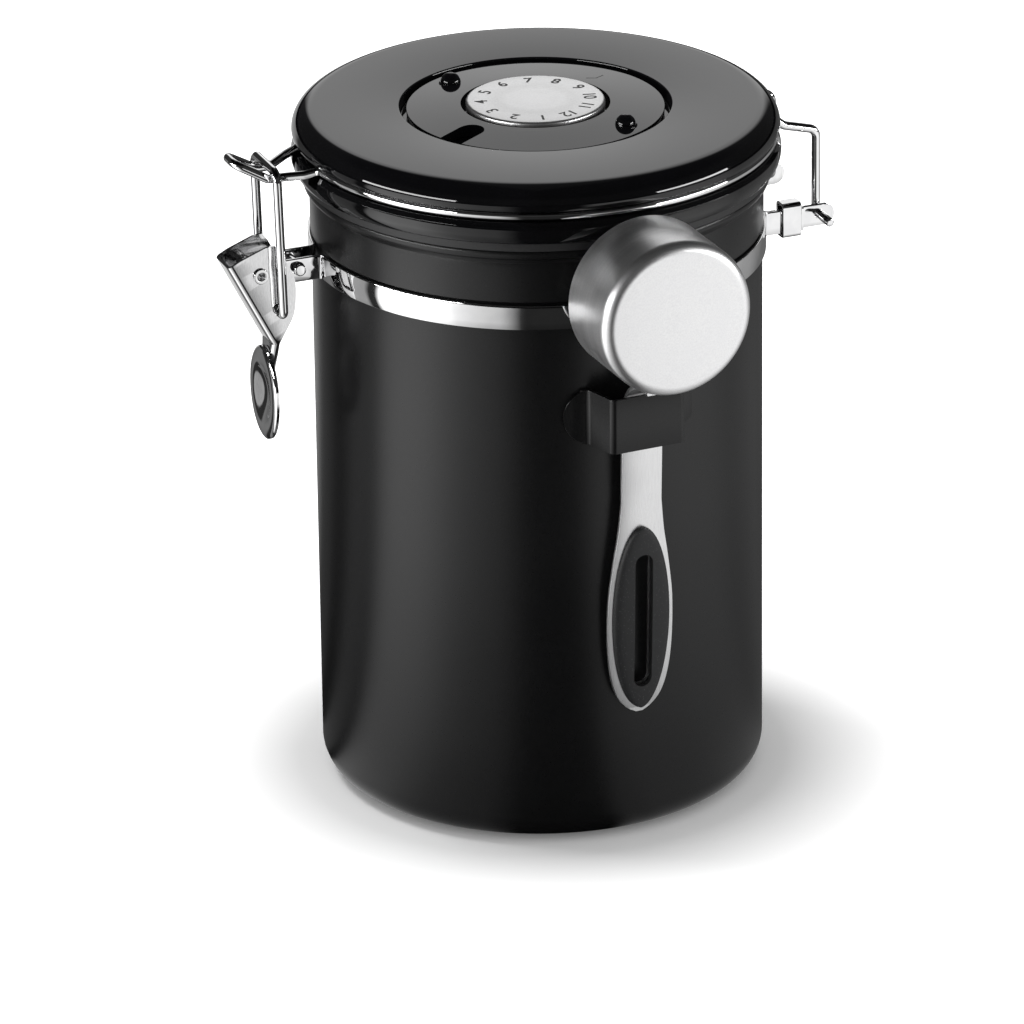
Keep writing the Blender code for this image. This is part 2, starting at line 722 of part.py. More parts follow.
def make_lever(steel):
    """Folded channel lever: two cheeks, a spine and a dished thumb tab."""
    top = Vector((LEVER_TOP_X, LEVER_TOP_Z, 0))
    foot = Vector((LEVER_FOOT_X, LEVER_FOOT_Z, 0))
    stations = []
    for place, share in CHEEK_DEPTH_SHARES:
        stations.append((top.lerp(foot, place), LEVER_DEPTH * share, CHEEK_HALF))
    neck_half = CHEEK_HALF * LEVER_NECK_HALF_SHARE
    neck = Vector((LEVER_NECK_X, LEVER_NECK_Z, 0))
    tab_face = TAB_X - TAB_T / 4
    hold = Vector((tab_face, TAB_Z + TAB_L / 4, 0))
    stations.append((foot, LEVER_LIP, (CHEEK_HALF + neck_half) / 2))
    stations.append((neck, LEVER_LIP, neck_half))
    stations.append((hold, LEVER_LIP, neck_half))
    path = [station[0] for station in stations]
    rings = []
    for (point, depth, half), side in zip(stations, offsets(path)):
        ring = []
        for across, inward in cheek_section(half, depth):
            spot = point + side * inward
            ring.append((spot.x, LATCH_Y + across, spot.y))
        rings.append(ring)
    made = add_object("latch_lever", loft(rings), steel)
    combine(made, make_tab(steel), "UNION")
    reach = CHEEK_HALF + OVERRUN
    for name, radius, x, z in (
        ("lever_pivot_hole", RIVET_R, PIVOT_X, PIVOT_Z),
        ("lever_bail_hole", WIRE_R, BAIL_HOLE_X, BAIL_HOLE_Z),
    ):
        start = (x, LATCH_Y - reach, z)
        end = (x, LATCH_Y + reach, z)
        combine(made, rod_cutter(name, radius + CLEARANCE, start, end, steel), "DIFFERENCE")
    return made


def make_tab(steel):
    """Oval sheet with a thumb dish in its outer face and its edge rolled inwards."""
    steps = 28
    bm = bmesh.new()
    faces_rows = []
    for lift in (-TAB_T / 2, TAB_T / 2):
        rows = [[bm.verts.new((TAB_X + lift + TAB_DISH, LATCH_Y, TAB_Z))]]
        for reach, dish, roll in TAB_RING_SHARES:
            x = TAB_X + lift + TAB_DISH * dish + TAB_ROLL * roll
            row = []
            for step in range(steps):
                angle = math.tau * step / steps
                y = LATCH_Y + TAB_W / 2 * reach * math.cos(angle)
                row.append(bm.verts.new((x, y, TAB_Z + TAB_L / 2 * reach * math.sin(angle))))
            rows.append(row)
        faces_rows.append(rows)
        for k in range(steps):
            bm.faces.new((rows[0][0], rows[1][k], rows[1][(k + 1) % steps]))
        for row, after in zip(rows[1:], rows[2:]):
            for k in range(steps):
                n = (k + 1) % steps
                bm.faces.new((row[k], after[k], after[n], row[n]))
    outer, inner = faces_rows[0][-1], faces_rows[1][-1]
    for k in range(steps):
        n = (k + 1) % steps
        bm.faces.new((outer[k], inner[k], inner[n], outer[n]))
    return add_object("thumb_tab", bm, steel)


def make_clamp_pin(steel):
    """Pin through both latch ears, with chamfered ends."""
    half = EAR_HALF + CLAMP_OUT
    chamfer = CLAMP_R / 4
    profile = [(0, -half), (CLAMP_R - chamfer, -half), (CLAMP_R, chamfer - half)]
    profile += [(radius, -along) for radius, along in reversed(profile)]
    made = turned("latch_clamp_pin", profile, steel, SMALL_STEPS)
    made.rotation_euler = (math.pi / 2, 0, 0)
    made.location = (CLAMP_X, LATCH_Y, CLAMP_Z)
    return made


def make_pivot_rivet(steel):
    """Hollow rivet through ears and cheeks, a rolled head at each end."""
    neck = RIVET_HALF - RIVET_HEAD_T
    edge = RIVET_HEAD_T / 2
    low = [
        (RIVET_BORE_R, -RIVET_HALF),
        (RIVET_HEAD_R - edge, -RIVET_HALF),
        (RIVET_HEAD_R, edge - RIVET_HALF),
        (RIVET_HEAD_R, -neck),
        (RIVET_R, -neck),
    ]
    profile = low + [(radius, -along) for radius, along in reversed(low)]
    made = turned("lever_pivot_rivet", profile, steel, SMALL_STEPS)
    made.rotation_euler = (math.pi / 2, 0, 0)
    made.location = (PIVOT_X, LATCH_Y, PIVOT_Z)
    return made


def make_gasket(rubber):
    """Flat ring on the bead with a short outer lip."""
    out = CAN_R + GASKET_OUT
    low = CAN_H + CLEARANCE
    high = low + GASKET_T
    bore = PLUG_R + CLEARANCE + GASKET_LIP_T
    lip = out - GASKET_LIP_T
    profile = [(bore, low), (lip - GASKET_LIP_T, low), (lip, low - GASKET_LIP_H)]
    profile += [(out, low - GASKET_LIP_H), (out, high), (bore, high)]
    return turned("lid_gasket", profile, rubber, BIG_STEPS)


def make_lid_base(gloss):
    """Lower shell of the lid: the bulged ring, a tapered plug and a floor for the valve."""
    rim_inner = LID_R - LID_RIM_T
    floor_top = PLUG_Z + LID_WALL
    profile = [
        (VALVE_STEM_R + CLEARANCE, PLUG_Z),
        (PLUG_BOTTOM_R, PLUG_Z),
        (PLUG_R, LID_Z - PLUG_DEPTH / 4),
        (PLUG_R, LID_Z),
        (CAN_R + GASKET_OUT + GASKET_LIP_T, LID_Z),
        (LID_R - GASKET_LIP_T, LID_Z + LID_BASE_H / 4),
        (LID_R, LID_Z + LID_BASE_H / 2),
        (LID_R - GASKET_LIP_T / 2, LID_BASE_TOP - LID_BASE_H / 8),
        (LID_R - GASKET_LIP_T * 2, LID_BASE_TOP),
        (rim_inner, LID_BASE_TOP),
        (rim_inner, LID_Z + LID_BASE_H / 4),
        (PLUG_R - LID_WALL, LID_Z),
        (PLUG_BOTTOM_R - LID_WALL, floor_top),
        (VALVE_STEM_R + CLEARANCE, floor_top),
    ]
    made = turned("lid_base", profile, gloss, BIG_STEPS)
    for k in range(VENT_COUNT):
        angle = math.tau * k / VENT_COUNT
        x = VENT_CIRCLE_R * math.cos(angle)
        y = VENT_CIRCLE_R * math.sin(angle)
        start = (x, y, PLUG_Z - OVERRUN)
        tool = rod_cutter(f"vent_{k}", VENT_R, start, (x, y, floor_top + OVERRUN), gloss)
        combine(made, tool, "DIFFERENCE")
    notch_low = LID_BASE_TOP - NOTCH_DEPTH
    notch_high = LID_BASE_TOP + OVERRUN
    half = WIRE_R + 2 * CLEARANCE
    out = LID_R + OVERRUN
    inside = GROOVE_R - CLEARANCE
    for side in (-1, 1):
        y = side * HINGE_LEG_Y
        inner_x = math.sqrt(inside**2 - HINGE_LEG_Y**2)
        low = (inner_x, y - half, notch_low)
        tool = box_cutter(f"hinge_notch_{side}", low, (out, y + half, notch_high), gloss)
        combine(made, tool, "DIFFERENCE")
        outer = LATCH_Y + side * (CATCH_EXIT_HALF + half)
        inner = LATCH_Y + side * (CATCH_KNEE_HALF - half)
        inner_x = math.sqrt(inside**2 - inner**2)
        low = (-out, min(outer, inner), notch_low)
        tool = box_cutter(f"latch_notch_{side}", low, (-inner_x, max(outer, inner), notch_high), gloss)
        combine(made, tool, "DIFFERENCE")
    return made


def make_lid_cap(gloss):
    """Top shell: a domed edge, a skirt behind the wire and the round recess for the dials."""
    over = CAP_TOP - CAP_Z - CAP_WALL / 2
    profile = [(RECESS_R, CAP_TOP)]
    for step in range(6):
        angle = math.radians(90 - 90 * step / 5)
        bulge_r = CAP_FLAT_R + (CAP_OUT - CAP_FLAT_R) * math.cos(angle)
        profile.append((bulge_r, CAP_TOP - over + over * math.sin(angle)))
    profile += [
        (CAP_OUT - CAP_WALL / 8, CAP_Z),
        (GROOVE_R, CAP_Z),
        (GROOVE_R, LID_BASE_TOP + CLEARANCE),
        (GROOVE_R - CAP_SKIRT_T, LID_BASE_TOP + CLEARANCE),
        (GROOVE_R - CAP_SKIRT_T, CAP_Z),
        (CAP_FLAT_R - CAP_WALL, CAP_TOP - CAP_WALL),
        (RECESS_R + CAP_WALL, CAP_TOP - CAP_WALL),
        (RECESS_R + CAP_WALL, DIAL_FLOOR_Z - CAP_WALL),
        (POST_R + CLEARANCE, DIAL_FLOOR_Z - CAP_WALL),
        (POST_R + CLEARANCE, DIAL_FLOOR_Z),
        (RECESS_R, DIAL_FLOOR_Z),
    ]
    return turned("lid_cap", profile, gloss, BIG_STEPS)


def make_date_ring(gloss):
    """Ring with a flanged well, two finger studs and a window open to its rim."""
    top = DATE_RING_Z + DATE_RING_T
    edge = DATE_RING_EDGE
    profile = [
        (POST_SHOULDER_R + CLEARANCE, DATE_RING_Z),
        (DATE_RING_R, DATE_RING_Z),
        (DATE_RING_R, top - edge),
        (DATE_RING_R - edge, top),
        (WELL_R + edge, top),
        (WELL_R, top - edge),
        (WELL_R, DATE_RING_Z + DATE_FLANGE_T),
        (POST_SHOULDER_R + CLEARANCE, DATE_RING_Z + DATE_FLANGE_T),
    ]
    made = turned("date_ring", profile, gloss, MID_STEPS)
    window_half = WINDOW_W / 2
    inner_mid = WINDOW_INNER_R + window_half
    outline = arc((inner_mid, 0), window_half, 90, 270, 8)
    outline += [(DATE_RING_R + OVERRUN, -window_half), (DATE_RING_R + OVERRUN, window_half)]
    cutter = add_object("date_window", plate([outline], DATE_RING_Z - OVERRUN, top + OVERRUN), gloss)
    cutter.rotation_euler = (0, 0, math.radians(WINDOW_ANGLE_DEG))
    combine(made, cutter, "DIFFERENCE")
    for k, angle_deg in enumerate(STUD_ANGLES_DEG):
        angle = math.radians(angle_deg)
        sunk = STUD_H * STUD_SINK_SHARE
        dome = [(0, top - sunk), (STUD_R, top - sunk)]
        for step in range(5):
            lift = math.radians(90 * step / 4)
            dome.append((STUD_R * math.cos(lift), top + edge / 4 + (STUD_H - edge / 4) * math.sin(lift)))
        dome[-1] = (0, top + STUD_H)
        stud = turned(f"finger_stud_{k}", dome, gloss, SMALL_STEPS)
        stud.location = (STUD_CENTRE_R * math.cos(angle), STUD_CENTRE_R * math.sin(angle), 0)
        combine(made, stud, "UNION")
    return made


def make_month_disc(steel):
    """Disc with a blind bore that sits in the ring's well."""
    top = DISC_Z + DISC_T
    bore = POST_R + CLEARANCE
    profile = [
        (0, top),
        (DISC_R - DISC_EDGE, top),
        (DISC_R, top - DISC_EDGE),
        (DISC_R, DISC_Z),
        (bore, DISC_Z),
        (bore, top - DISC_T / 3),
        (0, top - DISC_T / 3),
    ]
    return turned("month_disc", profile, steel, MID_STEPS)


def make_spindle(steel):
    """Shouldered post through the cap's floor, with a flange under it."""
    flange_top = DIAL_FLOOR_Z - CAP_WALL - CLEARANCE
    shoulder_low = DIAL_FLOOR_Z + CLEARANCE
    shoulder_high = DATE_RING_Z + DATE_FLANGE_T
    post_top = DISC_Z + DISC_T - DISC_T / 3 - CLEARANCE
    profile = [
        (0, flange_top - POST_FLANGE_T),
        (POST_FLANGE_R, flange_top - POST_FLANGE_T),
        (POST_FLANGE_R, flange_top),
        (POST_R, flange_top),
        (POST_R, shoulder_low),
        (POST_SHOULDER_R, shoulder_low),
        (POST_SHOULDER_R, shoulder_high),
        (POST_R, shoulder_high),
        (POST_R, post_top),
        (0, post_top),
    ]
    return turned("dial_spindle", profile, steel, SMALL_STEPS)


def make_valve(rubber):
    """Umbrella valve: a thin disc over the vents and a barbed stem."""
    seat = PLUG_Z + LID_WALL + CLEARANCE
    under = PLUG_Z - CLEARANCE
    profile = [
        (0, under - VALVE_BARB_H),
        (VALVE_STEM_R, under - VALVE_BARB_H),
        (VALVE_BARB_R, under),
        (VALVE_STEM_R, under),
        (VALVE_STEM_R, seat),
        (VALVE_R, seat),
        (VALVE_R, seat + VALVE_T / 3),
        (VALVE_STEM_R * 2, seat + VALVE_T),
        (0, seat + VALVE_T),
    ]
    return turned("degassing_valve", profile, rubber, MID_STEPS)


def make_valve_cover(steel):
    """Perforated cup under the plug that keeps the grounds off the valve."""
    rim_top = PLUG_Z - CLEARANCE
    bottom = rim_top - COVER_DEPTH
    cup_r = COVER_R - COVER_RIM_W
    profile = [
        (0, bottom),
        (cup_r - COVER_T, bottom),
        (cup_r, bottom + COVER_T),
        (cup_r, rim_top - COVER_T),
        (COVER_R, rim_top - COVER_T),
        (COVER_R, rim_top),
        (cup_r - COVER_T, rim_top),
        (cup_r - COVER_T, bottom + COVER_T),
        (0, bottom + COVER_T),
    ]
    made = turned("valve_cover", profile, steel, MID_STEPS)
    for k in range(COVER_HOLE_COUNT):
        angle = math.tau * k / COVER_HOLE_COUNT
        x = COVER_HOLE_CIRCLE_R * math.cos(angle)
        y = COVER_HOLE_CIRCLE_R * math.sin(angle)
        start = (x, y, bottom - OVERRUN)
        end = (x, y, bottom + COVER_T + OVERRUN)
        combine(made, rod_cutter(f"cover_hole_{k}", COVER_HOLE_R, start, end, steel), "DIFFERENCE")
    return made


def make_clip(paint):
    """Hat-section clip: two round-ended flanges on the can and a face that the handle slips behind."""
    foot_r = CAN_R + CLEARANCE + CLIP_T / 2
    face = CLIP_OUT - CLIP_T / 2
    foot_deg = math.degrees(math.asin(CLIP_FOOT_HALF / foot_r))
    flange = arc((0, 0), foot_r, -90 + CLIP_FLANGE_DEG, -90 + foot_deg, 3)
    face_half = CLIP_FACE_HALF - CLIP_T / 2
    corners = flange + [(face_half, -face), (-face_half, -face)]
    corners += [(-x, y) for x, y in reversed(flange)]
    radii = [0, 0, CLIP_BEND_R, CLIP_BEND_R, CLIP_BEND_R, CLIP_BEND_R, 0, 0]
    path, halves = round_tips(rounded(corners, radii), CLIP_H / 2, True, True)
    made = add_object("scoop_clip", ribbon(path, halves, CLIP_T), paint)
    made.location = (0, 0, CLIP_Z)
    made.rotation_euler = (0, 0, math.radians(SCOOP_TURN_DEG))
    return made


def make_cup(steel):
    """Scoop cup, its axis level and its mouth towards the can."""
    bottom = CUP_MOUTH + CUP_DEPTH
    fillet_mid = (CUP_R - CUP_FILLET_R, bottom - CUP_FILLET_R)
    profile = [(0, bottom)]
    profile += arc(fillet_mid, CUP_FILLET_R, 90, 0, 3)
    profile += [(CUP_R, CUP_MOUTH), (CUP_R - CUP_WALL, CUP_MOUTH)]
    profile += arc(fillet_mid, CUP_FILLET_R - CUP_WALL, 0, 90, 2)
    profile += [(0, bottom - CUP_WALL)]
    made = turned("scoop_cup", profile, steel, MID_STEPS)
    turn = Matrix.Rotation(math.radians(SCOOP_TURN_DEG), 4, "Z") @ Matrix.Rotation(math.pi / 2, 4, "X")
    made.data.transform(turn)
    made.location = (0, 0, CUP_Z)
    return made


def handle_half(z):
    """Half width of the handle at a height."""
    place = min(1, (z - HANDLE_TIP_Z) / HANDLE_TAPER_L)
    return HANDLE_HALF_W * smooth_share(HANDLE_WIDTH_SHARES, place)


def lean(bm):
    """Swing (sideways, up, outwards) about the handle's bend, so that the tip hangs nearer to the can."""
    bend = Matrix.Translation((0, HANDLE_BEND_Z, HANDLE_BEND_RHO))
    swing = bend @ Matrix.Rotation(math.radians(HANDLE_LEAN_DEG), 4, "X") @ bend.inverted()
    bm.transform(swing)
    return bm


def slot_cutter(name, material):
    """Round-ended slot through the grip end, in the scoop's own frame."""
    low = (0, SLOT_LOW_Z + SLOT_HALF_W)
    high = (0, SLOT_HIGH_Z - SLOT_HALF_W)
    outline = arc(low, SLOT_HALF_W, 180, 360, 6) + arc(high, SLOT_HALF_W, 0, 180, 6)
    bm = plate([outline], HANDLE_BACK - OVERRUN, HANDLE_BACK + HANDLE_T + GRIP_T + CLEARANCE + OVERRUN)
    return add_object(name, scoop_frame(lean(bm)), material)


def scoop_frame(bm):
    """Turn (sideways, up, outwards) into the canister's frame."""
    upright = Matrix(((1, 0, 0, 0), (0, 0, -1, 0), (0, 1, 0, 0), (0, 0, 0, 1)))
    bm.transform(Matrix.Rotation(math.radians(SCOOP_TURN_DEG), 4, "Z") @ upright)
    return bm


def make_handle(steel):
    """Flat handle with a long oval grip end and a curved tab under the cup."""
    steps = 18
    centre = Vector((HANDLE_BEND_RHO, HANDLE_BEND_Z, 0))
    swing = Matrix.Rotation(math.radians(-HANDLE_LEAN_DEG), 3, "Z")
    path = []
    halves = []
    for step in range(steps + 1):
        z = HANDLE_TIP_Z + HANDLE_TAPER_L * (step / steps) ** HANDLE_STEP_POWER
        path.append(centre + swing @ (Vector((HANDLE_MID, z, 0)) - centre))
        halves.append(handle_half(z))
    end_half = halves[-1]
    bend = arc((HANDLE_BEND_RHO, HANDLE_BEND_Z), HANDLE_BEND_R, 180 - HANDLE_LEAN_DEG, 90, 6)
    for rho, z in [*bend, (HANDLE_TAB_OUT, HANDLE_BEND_Z + HANDLE_BEND_R)]:
        path.append(Vector((rho, z, 0)))
        halves.append(end_half)
    bm = ribbon(path, halves, HANDLE_T)
    swap = Matrix(((0, 0, 1, 0), (0, 1, 0, 0), (1, 0, 0, 0), (0, 0, 0, 1)))
    bm.transform(swap)
    made = add_object("scoop_handle", scoop_frame(bm), steel)
    combine(made, slot_cutter("handle_slot", steel), "DIFFERENCE")
    return made


def make_grip(rubber):
    """Oval silicone pad, domed on its front, with the same slot as the handle."""
    back = HANDLE_BACK + HANDLE_T + CLEARANCE
    steps = 14
    rings = []
    for step in range(steps + 1):
        swing = math.pi * step / steps
        z = GRIP_LOW_Z + GRIP_L * (1 - math.cos(swing)) / 2
        reach = max(GRIP_END_SHARE, math.sin(swing))
        half = GRIP_HALF_W * reach
        rise = (GRIP_T - GRIP_EDGE_T) * math.sqrt(reach)
        right = [(half * across, z, back + GRIP_EDGE_T + rise * up) for across, up in GRIP_CROWN_SHARES]
        left = [(-x, up, out) for x, up, out in reversed(right)]
        rings.append([(-half, z, back), (half, z, back), *right, *left])
    made = add_object("scoop_grip", scoop_frame(lean(loft(rings))), rubber)
    combine(made, slot_cutter("grip_slot", rubber), "DIFFERENCE")
    return made


def main():
    for old in list(bpy.data.objects):
        bpy.data.objects.remove(old, do_unlink=True)
    paint = finish("black_powder_coat", (0.03, 0.03, 0.032), 0.55, 0.0)
    gloss = finish("black_gloss", (0.02, 0.02, 0.022), 0.12, 0.0)
    chrome = finish("polished_steel", (0.80, 0.80, 0.81), 0.08, 1.0)
    satin = finish("brushed_steel", (0.72, 0.72, 0.73), 0.30, 1.0)
    dark_rubber = finish("dark_silicone", (0.06, 0.06, 0.065), 0.70, 0.0)
    white_rubber = finish("white_silicone", (0.82, 0.82, 0.80), 0.55, 0.0)

    make_can(paint)
    make_strap("strap_front", -1, chrome)
    make_strap("strap_rear", 1, chrome)
    make_bracket(chrome)
    make_ferrule("hinge_ferrule_front", -1, chrome)
    make_ferrule("hinge_ferrule_rear", 1, chrome)
    make_clamp_pin(chrome)
    make_pivot_rivet(chrome)
    make_clip(paint)

    lid = carrier("lid_axis", (HINGE_X, 0, HINGE_Z))
    ring = make_date_ring(gloss)
    disc = make_month_disc(satin)
    lid_wire = wire("lid_wire", lid_wire_points(), chrome)
    fixed = [make_lid_cap(gloss), make_lid_base(gloss), make_gasket(dark_rubber), lid_wire]
    fixed += [make_spindle(chrome), make_valve(white_rubber), make_valve_cover(satin)]
    hang(lid, [*fixed, ring, disc])

    lever_axis = carrier("lever_axis", (PIVOT_X, LATCH_Y, PIVOT_Z))
    hang(lever_axis, [make_lever(chrome)])
    bail_axis = carrier("bail_axis", (BAIL_HOLE_X, LATCH_Y, BAIL_HOLE_Z))
    hang(bail_axis, [wire("bail_wire", bail_points(), chrome)])
    hang(lever_axis, [bail_axis])

    scoop = carrier("scoop_rest", (0, 0, CLIP_TOP))
    hang(scoop, [make_cup(satin), make_handle(satin), make_grip(dark_rubber)])


main()
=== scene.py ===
"""Coffee canister: the dressed model, its materials, light and camera.

Metres, +Z up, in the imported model's frame. The scoop hangs at -Y, the latch is at -X and the hinge at +X.
"""

import math

import bmesh
import bpy
from mathutils import Matrix, Vector


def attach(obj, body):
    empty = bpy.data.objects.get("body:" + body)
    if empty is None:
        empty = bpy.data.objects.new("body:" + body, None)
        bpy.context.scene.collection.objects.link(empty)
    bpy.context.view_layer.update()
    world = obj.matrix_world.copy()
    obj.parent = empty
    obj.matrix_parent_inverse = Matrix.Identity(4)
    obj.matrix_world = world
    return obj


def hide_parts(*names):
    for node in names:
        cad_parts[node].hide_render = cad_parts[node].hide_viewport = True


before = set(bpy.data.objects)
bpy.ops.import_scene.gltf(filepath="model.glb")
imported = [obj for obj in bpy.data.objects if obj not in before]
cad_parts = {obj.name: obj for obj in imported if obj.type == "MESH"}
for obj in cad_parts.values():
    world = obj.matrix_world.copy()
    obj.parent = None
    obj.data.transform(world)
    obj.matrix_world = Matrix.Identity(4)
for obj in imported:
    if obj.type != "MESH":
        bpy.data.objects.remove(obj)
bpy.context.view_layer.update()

# Fits and fineness
CLEARANCE = 0.0003
WELD_DISTANCE = 0.000001
BIG_STEPS = 192
MID_STEPS = 128
SMALL_STEPS = 48
WIRE_BEVEL_RESOLUTION = 8
CORNER_SIZE = 0.001
SMOOTH_DEG = 32
WIRE_SMOOTH_DEG = 50
FILLET_STEP_DEG = 6
POINT_GAP = 0.00002
SOFTEN_FROM_DEG = 20
SOFTEN_REACH_SHARE = 0.45

# Can
CAN_R = 0.060
CAN_WALL = 0.001
CAN_H = 0.1703
BASE_FILLET_R = 0.0075
NECK_SWELL = 0.0003
BEAD_OUT = 0.002
BEAD_R = 0.00165
BEAD_GROOVE_H = 0.0012
SEAT_INSET = 0.0002
SHOULDER_H = 0.0019

# Neck strap
STRAP_Z = 0.1509
STRAP_H = 0.0066
STRAP_T = 0.0009
STRAP_BEND_R = 0.0015
STRAP_STEPS = 120
SHEET_EDGE = 0.00018

# Wires
WIRE_R = 0.0012
WIRE_BEND_R = 0.0027
RING_BEND_R = 0.0025
WIRE_END_SHARE = 0.25
WIRE_END_SHARES = ((0.0, 0.72), (0.4, 0.9), (1.0, 1.0))

# Lid
GASKET_T = 0.0016
GASKET_OUT = 0.0024
GASKET_LIP_T = 0.0005
GASKET_LIP_H = 0.0007
PLUG_R = 0.0574
PLUG_BOTTOM_R = 0.0545
PLUG_DEPTH = 0.0055
LID_R = 0.065
LID_WALL = 0.0014
LID_BASE_H = 0.006
LID_RIM_T = 0.007
RING_WIRE_R = 0.063
CAP_H = 0.0063
CAP_OUT = 0.0647
CAP_FLAT_R = 0.0586
CAP_SKIRT_T = 0.002
CAP_WALL = 0.0016
NOTCH_DEPTH = 0.0032
VALVE_BORE_R = 0.0019
VENT_R = 0.0011
VENT_CENTRE_R = 0.006
VENTS = 6
# The lower lid ring's bulge: share of its reach outwards, share of its height
LID_BULGE_SHARES = (
    (0.4, 0.0), (0.65, 0.07), (0.84, 0.2), (0.96, 0.36), (1.0, 0.52), (0.97, 0.66), (0.89, 0.79),
)

# Date dials
RECESS_R = 0.03595
RECESS_DEPTH = 0.0034
DATE_RING_R = 0.0341
DATE_RING_T = 0.0027
DATE_RING_EDGE = 0.0004
DATE_RING_CROWN = 0.0008
DATE_RING_FALL = 0.0003
DATE_RING_FALL_POWER = 1.15
DATE_FLANGE_T = 0.001
WELL_R = 0.0198
DISC_R = 0.01845
DISC_T = 0.0031
DISC_EDGE = 0.0008
POST_R = 0.002
POST_SHOULDER_R = 0.0033
STUD_R = 0.00315
STUD_H = 0.003
STUD_SKIRT_SHARE = 0.12
STUD_CENTRE_R = 0.0285
STUD_ANGLES_DEG = (120.5, -56.0)
WINDOW_W = 0.0073
WINDOW_INNER_R = 0.0225
WINDOW_ANGLE_DEG = -152.5
NUMBER_R = 0.0143
NUMBER_H = 0.0034
NUMBER_WEIGHT = 0.00006
NUMBER_CAP_SHARE = 0.70
NUMBER_SPACING = 0.95
NUMBER_FIRST_DEG = -104.2
INK_T = 0.00003
MARK_POINTS = ((0.0195, 0.0122), (0.0220, 0.0115), (0.0249, 0.0135))
MARK_W = 0.00024

# Hinge
HINGE_X = 0.0745
HINGE_Z = 0.1512
HINGE_LEG_Y = 0.01475
HINGE_PIN_END_Y = 0.0245
HINGE_KNEE_Z = 0.1745
HINGE_ARM_X = 0.065
HINGE_ARM_Z = 0.177
BRACKET_T = 0.0007
BRACKET_H = 0.0062
BRACKET_END_X = 0.079
TAB_END_X = 0.0695
FERRULE_X = 0.0658
FERRULE_L = 0.0054
FERRULE_W = 0.0048
FERRULE_H = 0.0097
FERRULE_T = 0.0007
FERRULE_CORNER_R = 0.0012

# Toggle latch
LATCH_Y = 0.0045
LATCH_INNER_HALF = 0.0033
EAR_END_X = -0.082
CLAMP_X = -0.0676
CLAMP_Z = 0.1515
CLAMP_R = 0.00165
CLAMP_OUT = 0.002
PIVOT_X = -0.0785
PIVOT_Z = 0.1513
RIVET_R = 0.0016
RIVET_BORE_R = 0.0011
RIVET_HEAD_R = 0.0021
RIVET_HEAD_T = 0.0004
RIVET_EDGE = 0.00018
LEVER_T = 0.0008
LEVER_FOLD_R = 0.0015
LEVER_TOP_X = -0.0874
LEVER_TOP_Z = 0.1545
LEVER_FOOT_X = -0.0754
LEVER_FOOT_Z = 0.1309
LEVER_NECK_X = -0.0757
LEVER_NECK_Z = 0.1283
LEVER_DEPTH = 0.0142
LEVER_LIP = 0.0019
LEVER_NECK_HALF_SHARE = 0.78
CHEEK_DEPTH_SHARES = (
    (0.0, 0.28), (0.03, 0.80), (0.065, 0.965), (0.27, 1.0), (0.49, 0.985), (0.66, 0.845), (0.84, 0.605), (0.96, 0.27),
)
TAB_X = -0.0768
TAB_Z = 0.1162
TAB_W = 0.020
TAB_L = 0.026
TAB_T = 0.0008
TAB_DISH = 0.0018
TAB_ROLL = 0.0006
# The thumb tab from its middle outwards: share of its reach, of the dish's depth, of the rolled edge
TAB_SHARES = (
    (0.01, 1.0, 0), (0.06, 0.99, 0), (0.13, 0.95, 0), (0.22, 0.86, 0), (0.32, 0.70, 0), (0.42, 0.49, 0),
    (0.52, 0.27, 0), (0.60, 0.12, 0), (0.66, 0.03, 0), (0.71, 0, 0), (0.8, 0, 0), (0.9, 0, 0.05),
    (0.95, 0, 0.3), (0.98, 0, 0.65), (1.0, 0, 1.0),
)
BAIL_HOLE_X = -0.0735
BAIL_HOLE_Z = 0.1405
BAIL_TOP_X = -0.0745
BAIL_CORNER_R = 0.003
BAIL_HOOK_R = 0.0016
BAIL_HOOK_IN = 0.001
BAIL_SPREAD = 0.0012
CATCH_Z = 0.1778
CATCH_EXIT_HALF = 0.0098
CATCH_KNEE_X = -0.0665
CATCH_KNEE_Z = 0.1788
CATCH_KNEE_HALF = 0.008
CATCH_NECK_X = -0.072
CATCH_NECK_HALF = 0.0045
CATCH_BEND_X = -0.0755
CATCH_END_X = -0.0842
CATCH_END_HALF = 0.0036
CATCH_RISE_DEG = 30
CATCH_END_R = 0.0024

# Scoop and clip
SCOOP_TURN_DEG = 2.5
CLIP_Z = 0.1227
CLIP_H = 0.0152
CLIP_T = 0.001
CLIP_OUT = 0.0697
CLIP_FACE_HALF = 0.0105
CLIP_FOOT_HALF = 0.0125
CLIP_FLANGE_DEG = 18.3
CLIP_BEND_R = 0.0013
CLIP_FOOT_BEND_R = 0.0022
CUP_R = 0.0211
CUP_DEPTH = 0.0226
CUP_WALL = 0.0008
CUP_FILLET_R = 0.0031
CUP_MOUTH = 0.066
HANDLE_BACK = 0.0647
HANDLE_T = 0.0012
HANDLE_BEND_R = 0.0128
HANDLE_LEAN_DEG = 2.2
HANDLE_TIP_Z = 0.0367
HANDLE_TAPER_L = 0.061
HANDLE_TAB_OUT = 0.081
HANDLE_HALF_W = 0.0094
HANDLE_STEP_POWER = 1.7
HANDLE_WIDTH_SHARES = (
    (0.0, 0.12), (0.022, 0.36), (0.067, 0.625), (0.125, 0.79), (0.21, 0.915), (0.31, 0.98), (0.43, 1.0), (0.56, 0.972),
    (0.74, 0.823), (0.86, 0.70), (1.0, 0.612),
)
SLOT_HALF_W = 0.00255
SLOT_LOW_Z = 0.0448
SLOT_HIGH_Z = 0.0832
GRIP_LOW_Z = 0.0383
GRIP_L = 0.0523
GRIP_HALF_W = 0.0082
GRIP_T = 0.0019
GRIP_EDGE_T = 0.0009
GRIP_ROLL_SHARE = 0.45
GRIP_ROLL_POWER = 9
GRIP_ROUND_EDGE = 0.0003

